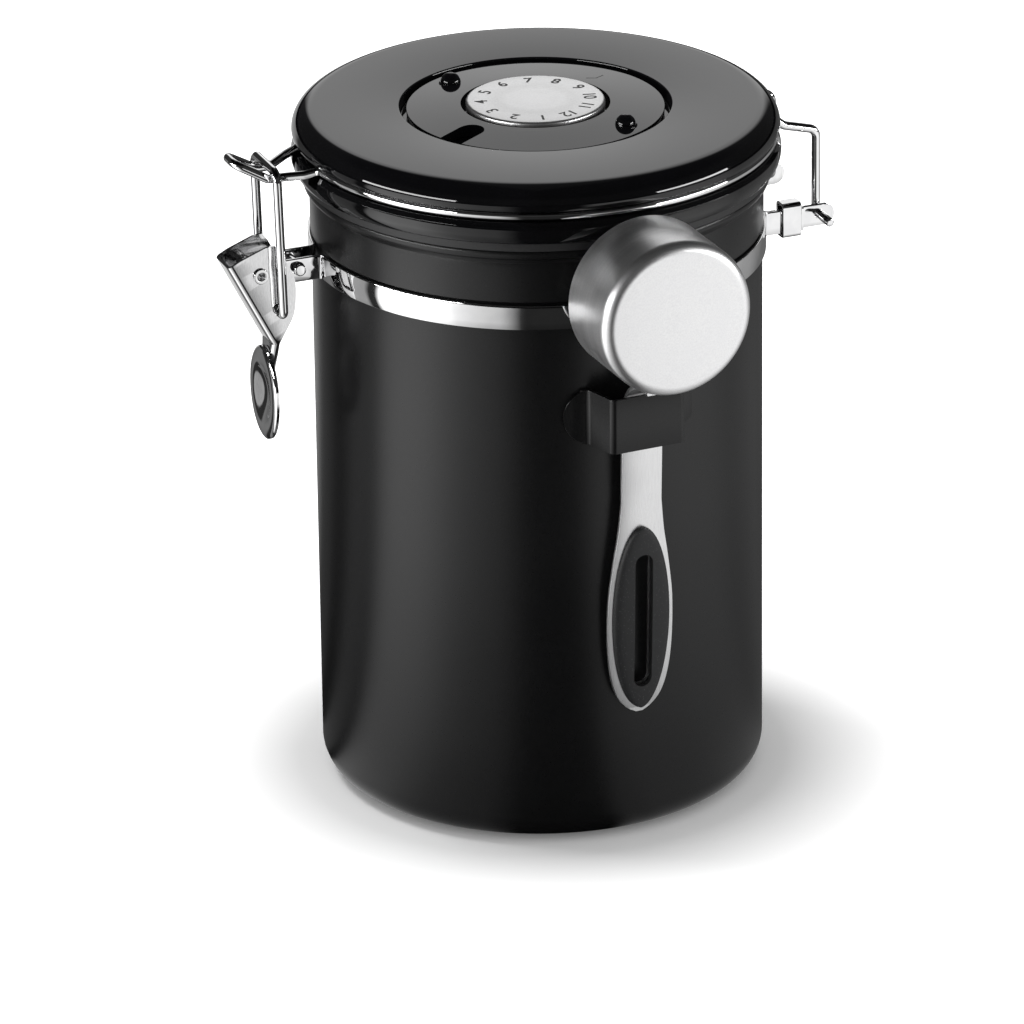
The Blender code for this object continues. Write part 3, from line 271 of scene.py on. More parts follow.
# The photograph's camera
LENS_MM = 270
SENSOR_MM = 36
CAMERA_PLACE = (-0.7062, -1.7721, 0.8867)
CAMERA_TURN_DEG = -21.5
CAMERA_ELEVATION_DEG = 23.165
CAMERA_ROLL = 0.0129

# Places worked out from the sizes above
STRAP_LOW = STRAP_Z - STRAP_H / 2
STRAP_HIGH = STRAP_Z + STRAP_H / 2
SEAT_R = CAN_R - SEAT_INSET
STRAP_MID_R = SEAT_R + CLEARANCE + STRAP_T / 2
BRACKET_MID_R = SEAT_R + CLEARANCE + BRACKET_T / 2
BEAD_MID_R = CAN_R + BEAD_OUT - BEAD_R
BEAD_Z = CAN_H - BEAD_R
MOUTH_R = BEAD_MID_R - BEAD_R
LID_Z = CAN_H + GASKET_T + 2 * CLEARANCE
LID_BASE_TOP = LID_Z + LID_BASE_H
RING_WIRE_Z = LID_BASE_TOP + CLEARANCE + WIRE_R
CAP_Z = RING_WIRE_Z + WIRE_R + CLEARANCE
CAP_TOP = CAP_Z + CAP_H
GROOVE_R = RING_WIRE_R - WIRE_R - CLEARANCE
PLUG_Z = LID_Z - PLUG_DEPTH
DIAL_FLOOR_Z = CAP_TOP - RECESS_DEPTH
DATE_RING_Z = DIAL_FLOOR_Z + CLEARANCE
DISC_Z = DATE_RING_Z + DATE_FLANGE_T + CLEARANCE
PIN_BEND_R = WIRE_R + CLEARANCE
EAR_OUTER_Y = HINGE_LEG_Y + WIRE_R + CLEARANCE + BRACKET_T
TAB_MID_Y = EAR_OUTER_Y + CLEARANCE + STRAP_T / 2
FERRULE_OUTER_Y = TAB_MID_Y + STRAP_T / 2 + CLEARANCE + FERRULE_T
EAR_HALF = LATCH_INNER_HALF + STRAP_T
CHEEK_INNER_HALF = EAR_HALF + CLEARANCE
CHEEK_HALF = CHEEK_INNER_HALF + LEVER_T
RIVET_HALF = CHEEK_HALF + CLEARANCE + RIVET_HEAD_T
BAIL_HALF = RIVET_HALF + CLEARANCE + WIRE_R + BAIL_SPREAD
BAIL_TOP_Z = CATCH_Z + 2 * WIRE_R + CLEARANCE
CLIP_TOP = CLIP_Z + CLIP_H / 2
CLIP_INNER = CLIP_OUT - CLIP_T
HANDLE_MID = HANDLE_BACK + HANDLE_T / 2
HANDLE_BEND_RHO = HANDLE_MID + HANDLE_BEND_R
HANDLE_UNDER_R = HANDLE_BEND_R - HANDLE_T / 2
HANDLE_REST_RISE = math.sqrt(HANDLE_UNDER_R**2 - (HANDLE_BEND_RHO - CLIP_INNER) ** 2)
HANDLE_BEND_Z = CLIP_TOP + CLEARANCE - HANDLE_REST_RISE
HANDLE_TOP_Z = HANDLE_BEND_Z + HANDLE_BEND_R + HANDLE_T / 2
CUP_Z = HANDLE_TOP_Z + CLEARANCE + CUP_R

# Patterns
# A noise's values lie mostly between these
NOISE_SPREAD = {"From Min": 0.3, "From Max": 0.7}
# How faint the turned steel's rings are on its face, beside those round its side
FACE_MARKS_SHARE = 0.08


# Materials


def linear(code):
    """An sRGB hex colour as linear RGBA."""
    shares = [int(code[k : k + 2], 16) / 255 for k in (1, 3, 5)]
    return (*(share / 12.92 if share <= 0.04045 else ((share + 0.055) / 1.055) ** 2.4 for share in shares), 1)


def cells(size_mm):
    """The scale of a pattern whose marks are so many millimetres across."""
    return 1000 / size_mm


def fill_inputs(node, inputs):
    """Give a node's sockets their values, or link them to another node's output."""
    for socket, value in inputs.items():
        if isinstance(value, bpy.types.NodeSocket):
            node.id_data.links.new(value, node.inputs[socket])
        else:
            node.inputs[socket].default_value = value


def add_node(tree, kind, inputs, stops=(), **settings):
    """Add a node with its settings, inputs and, for a ramp, (place, colour) stops. Gives its outputs."""
    made = tree.nodes.new(kind)
    for name, value in settings.items():
        setattr(made, name, value)
    fill_inputs(made, inputs)
    for k, (place, colour) in enumerate(stops):
        element = made.color_ramp.elements[k] if k < 2 else made.color_ramp.elements.new(place)
        element.position = place
        element.color = colour
    return made.outputs


def new_material(name):
    material = bpy.data.materials.new(name)
    material.use_nodes = True
    tree = material.node_tree
    return material, tree, tree.nodes["Principled BSDF"], tree.nodes.new("ShaderNodeTexCoord").outputs["Object"]


def dress(tree, shader, tone, colours, plain, marks=None, rough=None, relief=None, places=(0.3, 0.7)):
    """Blend two colours by a pattern, spread the roughness by another, add relief, and set what is plain."""
    stops = [(place, linear(code)) for place, code in zip(places, colours)]
    blend = add_node(tree, "ShaderNodeValToRGB", {"Fac": tone}, stops)["Color"]
    fill_inputs(shader, {"Base Color": blend, **plain})
    if marks:
        inputs = {**NOISE_SPREAD, "Value": marks, "To Min": rough[0], "To Max": rough[1]}
        fill_inputs(shader, {"Roughness": add_node(tree, "ShaderNodeMapRange", inputs)["Result"]})
    if relief:
        inputs = dict(zip(("Height", "Strength", "Distance"), relief))
        fill_inputs(shader, {"Normal": add_node(tree, "ShaderNodeBump", inputs)["Normal"]})
    return blend


def powder_coat():
    # Powder coat, baked matt black on drawn steel. Its fine orange peel spreads each lamp into a broad soft
    # band, and its black drifts a little from place to place.
    material, tree, shader, spot = new_material("black_powder_coat")
    peel = add_node(tree, "ShaderNodeTexNoise", {"Vector": spot, "Scale": cells(0.385), "Detail": 3, "Roughness": 0.6})
    drift = add_node(tree, "ShaderNodeTexNoise", {"Vector": spot, "Scale": cells(22.2), "Detail": 3})
    dress(
        tree, shader, drift["Fac"], ("#0E0E0F", "#121213"), {"Specular IOR Level": 0.42},
        peel["Fac"], (0.27, 0.33), (peel["Fac"], 0.05, 0.00003),
    )
    return material


def gloss_black():
    # Moulded ABS in gloss black. It mirrors the studio almost cleanly, with faint flow marks from the mould.
    material, tree, shader, spot = new_material("black_gloss")
    flow = add_node(tree, "ShaderNodeTexNoise", {"Vector": spot, "Scale": cells(16.7), "Detail": 2, "Roughness": 0.4})
    fine = add_node(tree, "ShaderNodeTexNoise", {"Vector": spot, "Scale": cells(1.11), "Detail": 2})
    dress(
        tree, shader, flow["Fac"], ("#0A0A0B", "#0E0E10"), {"IOR": 1.53},
        fine["Fac"], (0.03, 0.055), (flow["Fac"], 0.04, 0.0002),
    )
    return material


def polished_steel():
    # Stainless steel, drawn and then polished bright. It mirrors with high contrast and holds faint drawing
    # marks along the wire and the strap.
    material, tree, shader, spot = new_material("polished_steel")
    stretch = add_node(tree, "ShaderNodeMapping", {"Vector": spot, "Scale": (cells(16.7), cells(16.7), cells(0.385))})
    marks = add_node(
        tree, "ShaderNodeTexNoise", {"Vector": stretch["Vector"], "Scale": 1, "Detail": 3, "Roughness": 0.6}
    )
    soft = add_node(tree, "ShaderNodeTexNoise", {"Vector": spot, "Scale": cells(4.55), "Detail": 2})
    dress(
        tree, shader, soft["Fac"], ("#E5E5E6", "#EFEFEF"), {"Metallic": 1},
        marks["Fac"], (0.02, 0.06), (soft["Fac"], 0.03, 0.0002),
    )
    return material


def brushed_steel(name, grain_mm, low=0.26, high=0.42, depth=0.22):
    # Stainless steel, brushed along its length. Its fine lines blur reflections across the grain. They are
    # drawn coarser than a real 180 grit finish, so that they show.
    material, tree, shader, spot = new_material(name)
    stretch = add_node(tree, "ShaderNodeMapping", {"Vector": spot, "Scale": [cells(size) for size in grain_mm]})
    grain = add_node(
        tree, "ShaderNodeTexNoise", {"Vector": stretch["Vector"], "Scale": 1, "Detail": 4, "Roughness": 0.65}
    )["Fac"]
    soft = add_node(tree, "ShaderNodeTexNoise", {"Vector": spot, "Scale": cells(11.1), "Detail": 3})["Fac"]
    parts = [
        add_node(tree, "ShaderNodeMapRange", {**NOISE_SPREAD, "Value": value, "To Min": start, "To Max": end})
        for value, start, end in ((grain, low, high), (soft, -0.03, 0.05))
    ]
    rough = add_node(tree, "ShaderNodeMath", {k: part["Result"] for k, part in enumerate(parts)})
    plain = {"Metallic": 1, "Roughness": rough["Value"]}
    dress(tree, shader, grain, ("#DADADB", "#F1F1F1"), plain, relief=(grain, depth, 0.00005), places=(0.25, 0.75))
    return material


def turned_steel(name, centre, axis, low, high):
    # Stainless steel, spun and satin finished. Fine marks run round its side, and its face is softly blasted,
    # so it shows lamps as broad pale patches.
    material, tree, shader, spot = new_material(name)
    shift = add_node(tree, "ShaderNodeVectorMath", {0: spot, 1: centre}, operation="SUBTRACT")["Vector"]
    along = add_node(tree, "ShaderNodeVectorMath", {0: shift, 1: axis}, operation="DOT_PRODUCT")
    cross = add_node(tree, "ShaderNodeVectorMath", {0: shift, 1: axis}, operation="CROSS_PRODUCT")
    radius = add_node(tree, "ShaderNodeVectorMath", {0: cross["Vector"]}, operation="LENGTH")
    faint = add_node(tree, "ShaderNodeMath", {0: radius["Value"], 1: FACE_MARKS_SHARE}, operation="MULTIPLY")
    join = add_node(tree, "ShaderNodeCombineXYZ", {"X": faint["Value"], "Y": along["Value"]})
    rings = {"Vector": join["Vector"], "Scale": cells(0.667), "Detail": 3, "Roughness": 0.6}
    marks = add_node(tree, "ShaderNodeTexNoise", rings)["Fac"]
    blast = add_node(tree, "ShaderNodeTexNoise", {"Vector": spot, "Scale": cells(0.417), "Detail": 2})
    both = add_node(tree, "ShaderNodeMath", {0: marks, 1: blast["Fac"]}, operation="MULTIPLY")["Value"]
    dress(
        tree, shader, both, ("#E7E7E8", "#F6F6F6"), {"Metallic": 1}, marks, (low, high), (both, 0.12, 0.00005),
        places=(0.1, 0.4),
    )
    return material


def silicone(name, low, high, speck=None, rough=0.55):
    # Moulded silicone rubber with a sparked matt skin. It shows soft, dull lights, and the grip also shows the
    # pale dust that silicone draws.
    material, tree, shader, spot = new_material(name)
    skin = add_node(
        tree, "ShaderNodeTexNoise", {"Vector": spot, "Scale": cells(0.526), "Detail": 3, "Roughness": 0.6}
    )["Fac"]
    colour = dress(tree, shader, skin, (low, high), {}, skin, (rough - 0.05, rough + 0.08), (skin, 0.18, 0.00006))
    if speck:
        dots = add_node(tree, "ShaderNodeTexVoronoi", {"Vector": spot, "Scale": cells(0.667)})["Distance"]
        fade = {"Value": dots, "From Min": 0.10, "From Max": 0.20, "To Min": 1, "To Max": 0}
        mask = add_node(tree, "ShaderNodeMapRange", fade)["Result"]
        dust = {"Factor": mask, "A": colour, "B": linear(speck)}
        dusty = add_node(tree, "ShaderNodeMix", dust, data_type="RGBA")
        fill_inputs(shader, {"Base Color": dusty["Result"]})
    return material


def ink():
    # Pad-printed black ink, a thin and slightly uneven film.
    material, tree, shader, spot = new_material("dial_ink")
    film = add_node(tree, "ShaderNodeTexNoise", {"Vector": spot, "Scale": cells(0.333), "Detail": 2})["Fac"]
    dress(tree, shader, film, ("#1D1D1D", "#303030"), {}, film, (0.45, 0.6))
    return material


# Modelling steps


def work_on(piece):
    """Select one piece alone and make it the active one."""
    bpy.ops.object.select_all(action="DESELECT")
    piece.select_set(True)
    bpy.context.view_layer.objects.active = piece


def finish_piece(name, material, smooth_deg=SMOOTH_DEG):
    """Weld the active piece, turn its faces outwards, put its place in its mesh, smooth it and name it."""
    made = bpy.context.active_object
    bpy.ops.object.mode_set(mode="EDIT")
    bpy.ops.mesh.select_all(action="SELECT")
    bpy.ops.mesh.remove_doubles(threshold=WELD_DISTANCE)
    bpy.ops.mesh.normals_make_consistent(inside=False)
    bpy.ops.object.mode_set(mode="OBJECT")
    bpy.ops.object.transform_apply(location=True, rotation=True, scale=True)
    bpy.ops.object.shade_smooth_by_angle(angle=math.radians(smooth_deg), keep_sharp_edges=False)
    made.name = made.data.name = name
    made.data.materials.clear()
    made.data.materials.append(material)
    return made


def draw_line(points, closed):
    """Start a mesh as one corner and extrude it from point to point. It stays in edit mode."""
    bpy.ops.object.select_all(action="DESELECT")
    bpy.ops.mesh.primitive_plane_add(size=CORNER_SIZE)
    bpy.ops.object.mode_set(mode="EDIT")
    bpy.ops.mesh.merge(type="CENTER")
    bpy.ops.transform.translate(value=points[0])
    for start, end in zip(points, points[1:]):
        bpy.ops.mesh.extrude_vertices_move(TRANSFORM_OT_translate={"value": Vector(end) - Vector(start)})
    if closed:
        mesh = bpy.context.active_object.data
        bm = bmesh.from_edit_mesh(mesh)
        bm.verts.ensure_lookup_table()
        bm.verts[0].select = bm.verts[-1].select = True
        bm.select_flush_mode()
        bmesh.update_edit_mesh(mesh)
        bpy.ops.mesh.edge_face_add()


def add_object(name, bm, material):
    """Turn mesh code's result into a piece: the sheet strips and pads, whose sections change all along."""
    mesh = bpy.data.meshes.new(name)
    bm.to_mesh(mesh)
    bm.free()
    made = bpy.data.objects.new(name, mesh)
    bpy.context.collection.objects.link(made)
    work_on(made)
    return finish_piece(name, material)


def polar(radius, angle, centre=(0, 0)):
    return (centre[0] + radius * math.cos(angle), centre[1] + radius * math.sin(angle))


def arc(centre, radius, start_deg, end_deg, steps):
    turn = end_deg - start_deg
    return [polar(radius, math.radians(start_deg + turn * step / steps), centre) for step in range(steps + 1)]


def soften(profile, radius, closed=False):
    """Round every corner of a (radius, height) profile by at most the given radius."""
    points = []
    count = len(profile)
    for k, (r, z) in enumerate(profile):
        if not closed and k in (0, count - 1):
            points.append((r, z))
            continue
        corner = Vector((r, z))
        before = Vector(profile[k - 1]) - corner
        after = Vector(profile[(k + 1) % count]) - corner
        if before.length < WELD_DISTANCE or after.length < WELD_DISTANCE:
            points.append((r, z))
            continue
        turn = math.pi - before.angle(after)
        if turn < math.radians(SOFTEN_FROM_DEG):
            points.append((r, z))
            continue
        reach = min(radius * math.tan(turn / 2), SOFTEN_REACH_SHARE * min(before.length, after.length))
        start = corner + before.normalized() * reach
        end = corner + after.normalized() * reach
        for step in range(5):
            t = step / 4
            spot = start * (1 - t) ** 2 + corner * 2 * t * (1 - t) + end * t**2
            points.append((spot.x, spot.y))
    return points


def turned(name, profile, material, steps, edge=0):
    """Spin a profile of (radius, height) about Z. One that starts off the axis is a closed ring."""
    closed = profile[0][0] > 0
    if edge:
        profile = soften(profile, edge, closed)
    draw_line([(radius, 0, height) for radius, height in profile], closed)
    bpy.ops.mesh.select_all(action="SELECT")
    bpy.ops.mesh.spin(steps=steps, angle=math.tau, center=(0, 0, 0), axis=(0, 0, 1))
    return finish_piece(name, material)


def rounded(corners, radii):
    """A polyline with each corner rounded by its radius; a radius of zero keeps the corner."""
    corners = [Vector(corner).to_3d() for corner in corners]
    points = [corners[0]]
    for before, corner, after, radius in zip(corners, corners[1:], corners[2:], radii):
        to_start = (before - corner).normalized()
        to_end = (after - corner).normalized()
        turn = math.pi - to_start.angle(to_end)
        if radius == 0 or turn < math.radians(1):
            points.append(corner)
            continue
        reach = radius * math.tan(turn / 2)
        middle = (to_start + to_end).normalized()
        centre = corner + middle * (radius / math.cos(turn / 2))
        first = (corner + to_start * reach - centre).normalized()
        last = (corner + to_end * reach - centre).normalized()
        steps = max(2, math.ceil(math.degrees(turn) / FILLET_STEP_DEG))
        for step in range(steps + 1):
            points.append(centre + first.slerp(last, step / steps) * radius)
    points.append(corners[-1])
    return points


def loft(rings, bm=None):
    """Skin rings of points in order and close both ends, in a new mesh or with what a mesh holds."""
    bm = bm or bmesh.new()
    rows = [[bm.verts.new(point) for point in ring] for ring in rings]
    for row, after in zip(rows, rows[1:]):
        for k in range(len(row)):
            n = (k + 1) % len(row)
            bm.faces.new((row[k], row[n], after[n], after[k]))
    bm.faces.new(rows[0])
    bm.faces.new(rows[-1])
    return bm


def offsets(path):
    """The mitred sideways direction at each point of a plane path."""
    sides = []
    for k, point in enumerate(path):
        before = (point - path[k - 1]).normalized() if k else None
        after = (path[k + 1] - point).normalized() if k + 1 < len(path) else None
        before = before or after
        after = after or before
        along = (before + after).normalized()
        stretch = 1 / max(0.5, along.dot(after))
        sides.append(Vector((-along.y, along.x, 0)) * stretch)
    return sides


def ribbon(path, halves, thickness):
    """A strip of sheet that follows a plane path, with small round edges."""
    edge = SHEET_EDGE
    bent = edge * (1 - math.sqrt(0.5))
    rings = []
    for point, side, half in zip(path, offsets(path), halves):
        ring = []
        for out_sign in (-1, 1):
            for up_sign in (-1, 1):
                ring.append((out_sign * (thickness / 2 - edge), up_sign * half))
                ring.append((out_sign * (thickness / 2 - bent), up_sign * max(half - bent, half * 0.5)))
                ring.append((out_sign * thickness / 2, up_sign * max(half - edge, half * 0.5)))
        ring.sort(key=lambda spot: math.atan2(spot[1], spot[0]))
        rings.append([point + side * out + Vector((0, 0, up)) for out, up in ring])
    return loft(rings)


def point_along(path, distance):
    for start, end in zip(path, path[1:]):
        length = (end - start).length
        if distance <= length:
            return start.lerp(end, distance / length)
        distance -= length
    return path[-1].copy()


def round_tips(path, half, start, end, steps=14):
    """Add points near the chosen ends and give each point the half height of a round tip there."""
    total = sum((b - a).length for a, b in zip(path, path[1:]))
    blunt = math.radians(5)
    angles = [blunt + (math.pi / 2 - blunt) * step / steps for step in range(steps + 1)]
    reaches = [half * (math.cos(blunt) - math.cos(angle)) for angle in angles]
    spots = {}
    travelled = 0
    for k, point in enumerate(path):
        travelled += (point - path[k - 1]).length if k else 0
        spots[travelled] = half
    for flag, place in ((start, lambda reach: reach), (end, lambda reach: total - reach)):
        if not flag:
            continue
        for spot in [s for s in spots if abs(s - place(0)) < reaches[-1]]:
            here = abs(spot - place(0))
            rest = 1 - min(1, here / half + 1 - math.cos(blunt))
            spots[spot] = half * math.sqrt(max(0.0, 1 - rest**2))
        for reach, angle in zip(reaches, angles):
            spots[place(reach)] = half * math.sin(angle)
    order = sorted(spots)
    kept = [order[0]]
    for spot in order[1:]:
        if spot - kept[-1] > POINT_GAP:
            kept.append(spot)
    return [point_along(path, spot) for spot in kept], [spots[spot] for spot in kept]


def plate(name, outlines, low, high, material):
    """Fill closed outlines at one height, holes left open, and extrude them to another."""
    drawn = []
    for outline in outlines:
        draw_line([(x, y, low) for x, y in outline], True)
        bpy.ops.object.mode_set(mode="OBJECT")
        drawn.append(bpy.context.active_object)
    for line in drawn:
        line.select_set(True)
    if len(drawn) > 1:
        bpy.ops.object.join()
    bpy.ops.object.mode_set(mode="EDIT")
    bpy.ops.mesh.select_all(action="SELECT")
    bpy.ops.mesh.fill(use_beauty=True)
    bpy.ops.mesh.select_all(action="SELECT")
    bpy.ops.mesh.extrude_region_move(TRANSFORM_OT_translate={"value": (0, 0, high - low)})
    return finish_piece(name, material)


def cut(target, tool, operation="DIFFERENCE"):
    """Take the tool out of the target, or join it on."""
    work_on(target)
    boolean = target.modifiers.new("cut", "BOOLEAN")
    boolean.solver = "EXACT"
    boolean.operation = operation
    boolean.object = tool
    bpy.ops.object.modifier_apply(modifier=boolean.name)
    bpy.data.objects.remove(tool, do_unlink=True)
    bpy.ops.object.shade_smooth_by_angle(angle=math.radians(SMOOTH_DEG), keep_sharp_edges=False)


def round_edges(target, width, segments=3, angle_deg=35):
    """Small round edges, with shading that keeps flats flat."""
    work_on(target)
    bevel = target.modifiers.new("round_edges", "BEVEL")
    bevel.width = width
    bevel.segments = segments
    bevel.limit_method = "ANGLE"
    bevel.angle_limit = math.radians(angle_deg)
    bevel.harden_normals = True
    bevel.miter_outer = "MITER_ARC"
    bpy.ops.object.modifier_apply(modifier=bevel.name)


def rod(radius, start, end):
    """A round cutting tool between two points."""
    start = Vector(start)
    end = Vector(end)
    bpy.ops.object.select_all(action="DESELECT")
    bpy.ops.mesh.primitive_cylinder_add(
        vertices=SMALL_STEPS, radius=radius, depth=(end - start).length, location=(start + end) / 2,
        rotation=(end - start).to_track_quat("Z", "Y").to_euler(),
    )
    return bpy.context.active_object


def drill(target, radius, x, z, low_y, high_y):
    """A round hole along Y with a little room for the wire or pin of this radius."""
    cut(target, rod(radius + CLEARANCE / 2, (x, low_y, z), (x, high_y, z)))


def box(low, high):
    """A square cutting tool between two corners."""
    low = Vector(low)
    high = Vector(high)
    bpy.ops.object.select_all(action="DESELECT")
    bpy.ops.mesh.primitive_cube_add(size=1, location=(low + high) / 2, scale=high - low)
    return bpy.context.active_object


def wire(name, points, material):
    """Round wire along a polyline, its ends slightly rounded."""
    curve = bpy.data.curves.new(name, "CURVE")
    curve.dimensions = "3D"
    curve.bevel_depth = WIRE_R
    curve.bevel_resolution = WIRE_BEVEL_RESOLUTION
    curve.use_fill_caps = True
    spline = curve.splines.new("POLY")
    start_step = (points[1] - points[0]).normalized() * (WIRE_R * WIRE_END_SHARE)
    end_step = (points[-2] - points[-1]).normalized() * (WIRE_R * WIRE_END_SHARE)
    rows = [(points[0] + start_step * place, share) for place, share in WIRE_END_SHARES]
    rows += [(point, 1.0) for point in points[1:-1]]
    rows += [(points[-1] + end_step * place, share) for place, share in reversed(WIRE_END_SHARES)]
    spline.points.add(len(rows) - 1)
    for spot, (point, share) in zip(spline.points, rows):
        spot.co = (*point, 1)
        spot.radius = share
    made = bpy.data.objects.new(name, curve)
    bpy.context.collection.objects.link(made)
    work_on(made)
    bpy.ops.object.convert(target="MESH")
    return finish_piece(name, material, WIRE_SMOOTH_DEG)


def smooth_share(table, place):
    """Read a table of (place, value) shares along a smooth curve."""
    spots = [Vector(row) for row in table]
    spots = [2 * spots[0] - spots[1], *spots, 2 * spots[-1] - spots[-2]]
    for before, a, b, after in zip(spots, spots[1:], spots[2:], spots[3:]):
        if place <= b.x or b is spots[-2]:
            t = min(1, max(0, (place - a.x) / (b.x - a.x)))
            slope_a = (b.y - before.y) / (b.x - before.x) * (b.x - a.x)
            slope_b = (after.y - a.y) / (after.x - a.x) * (b.x - a.x)
            bend = (2 * t**3 - 3 * t**2 + 1) * a.y + (3 * t**2 - 2 * t**3) * b.y
            return bend + (t**3 - 2 * t**2 + t) * slope_a + (t**3 - t**2) * slope_b
    return table[-1][1]


def seat(piece, body, slot, *nodes):
    """The piece rides on a body and stands for CAD nodes, which it hides. The slot is not used."""
    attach(piece, body)
    if nodes:
        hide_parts(*nodes)


# Can, straps and hinge


def make_can(paint):
    inner_r = CAN_R - CAN_WALL
    fillet_mid = (CAN_R - BASE_FILLET_R, BASE_FILLET_R)
    seat_low = STRAP_LOW - CLEARANCE
    seat_high = STRAP_HIGH + CLEARANCE
    neck_r = CAN_R + NECK_SWELL
    profile = [(0, 0)]
    profile += arc(fillet_mid, BASE_FILLET_R, -90, 0, 16)
    profile += [(CAN_R, seat_low - SHOULDER_H * 2), (CAN_R, seat_low - SHOULDER_H)]
    profile += [(SEAT_R, seat_low), (SEAT_R, seat_high)]
    profile += [(neck_r, seat_high + (neck_r - SEAT_R))]
    profile += [(neck_r, BEAD_Z - BEAD_R - 2 * BEAD_GROOVE_H)]
    profile += [(CAN_R, BEAD_Z - BEAD_R - BEAD_GROOVE_H)]
    profile += arc((BEAD_MID_R, BEAD_Z), BEAD_R, -75, 180, 24)
    profile += [(MOUTH_R, seat_low), (inner_r, seat_low - SHOULDER_H)]
    profile += arc(fillet_mid, BASE_FILLET_R - CAN_WALL, 0, -90, 12)
    profile += [(0, CAN_WALL)]
    made = turned("can_shell", profile, paint, BIG_STEPS, edge=0.0004)
    seat(made, "canister", "black_powder_coat", "canister_body")


def band_path(first, ring, last):
    """An arc of band with an ear bent off each end."""
    corners = [first, ring[0], *ring[2:-2], ring[-1], last]
    return rounded(corners, [STRAP_BEND_R] + [0] * (len(corners) - 4) + [STRAP_BEND_R])


def make_strap(name, side, steel):
    ear_y = LATCH_Y + side * (LATCH_INNER_HALF + STRAP_T / 2)
    start = 180 - math.degrees(math.asin(ear_y / STRAP_MID_R))
    end = math.degrees(math.asin(TAB_MID_Y / STRAP_MID_R))
    ring = arc((0, 0), STRAP_MID_R, start, end if side > 0 else 360 - end, STRAP_STEPS)
    path, halves = round_tips(
        band_path((EAR_END_X, ear_y), ring, (TAB_END_X, side * TAB_MID_Y)), STRAP_H / 2, True, False
    )
    made = add_object(f"neck_band_{name}", ribbon(path, halves, STRAP_T), steel)
    made.data.transform(Matrix.Translation((0, 0, STRAP_Z)))
    for radius, x, z in ((CLAMP_R, CLAMP_X, CLAMP_Z), (RIVET_R, PIVOT_X, PIVOT_Z)):
        drill(made, radius, x, z, ear_y - STRAP_T, ear_y + STRAP_T)
    seat(made, "canister", "polished_steel", f"strap_{name}")


def make_bracket(steel):
    ear_y = EAR_OUTER_Y - BRACKET_T / 2
    end = math.degrees(math.asin(ear_y / BRACKET_MID_R))
    back = arc((0, 0), BRACKET_MID_R, -end, end, 24)
    path, halves = round_tips(
        band_path((BRACKET_END_X, -ear_y), back, (BRACKET_END_X, ear_y)), BRACKET_H / 2, True, True
    )
    made = add_object("hinge_ears", ribbon(path, halves, BRACKET_T), steel)
    made.data.transform(Matrix.Translation((0, 0, STRAP_Z)))
    reach = EAR_OUTER_Y + STRAP_T
    drill(made, WIRE_R, HINGE_X, HINGE_Z, -reach, reach)
    seat(made, "canister", "polished_steel", "hinge_bracket")


def rounded_box(width, height, corner, steps=8):
    points = []
    for turn, (sx, sy) in enumerate(((1, 1), (-1, 1), (-1, -1), (1, -1))):
        middle = (sx * (width / 2 - corner), sy * (height / 2 - corner))
        points += arc(middle, corner, 90 * turn, 90 * turn + 90, steps)
    return points


def make_ferrule(name, side, steel):
    inner_w = FERRULE_W - 2 * FERRULE_T
    inner_h = FERRULE_H - 2 * FERRULE_T
    outlines = (
        rounded_box(FERRULE_W, FERRULE_H, FERRULE_CORNER_R),
        rounded_box(inner_w, inner_h, FERRULE_CORNER_R - FERRULE_T),
    )
    made = plate(f"ferrule_{name}", outlines, -FERRULE_L / 2, FERRULE_L / 2, steel)
    made.data.transform(Matrix(((0, 0, 1, 0), (1, 0, 0, 0), (0, 1, 0, 0), (0, 0, 0, 1))))
    made.data.transform(Matrix.Translation((FERRULE_X, side * (FERRULE_OUTER_Y - FERRULE_W / 2), HINGE_Z)))
    round_edges(made, SHEET_EDGE)
    seat(made, "canister", "polished_steel", f"hinge_ferrule_{name}")


# Lid


def make_gasket(rubber):
    out = CAN_R + GASKET_OUT
    low = CAN_H + CLEARANCE
    high = low + GASKET_T
    bore = PLUG_R + CLEARANCE + GASKET_LIP_T
    lip = out - GASKET_LIP_T
    profile = [(bore, low), (lip - GASKET_LIP_T, low), (lip, low - GASKET_LIP_H)]
    profile += [(out, low - GASKET_LIP_H), (out, high), (bore, high)]
    made = turned("lid_seal", profile, rubber, BIG_STEPS, edge=0.0002)
    seat(made, "lid", "dark_silicone", "lid_gasket")


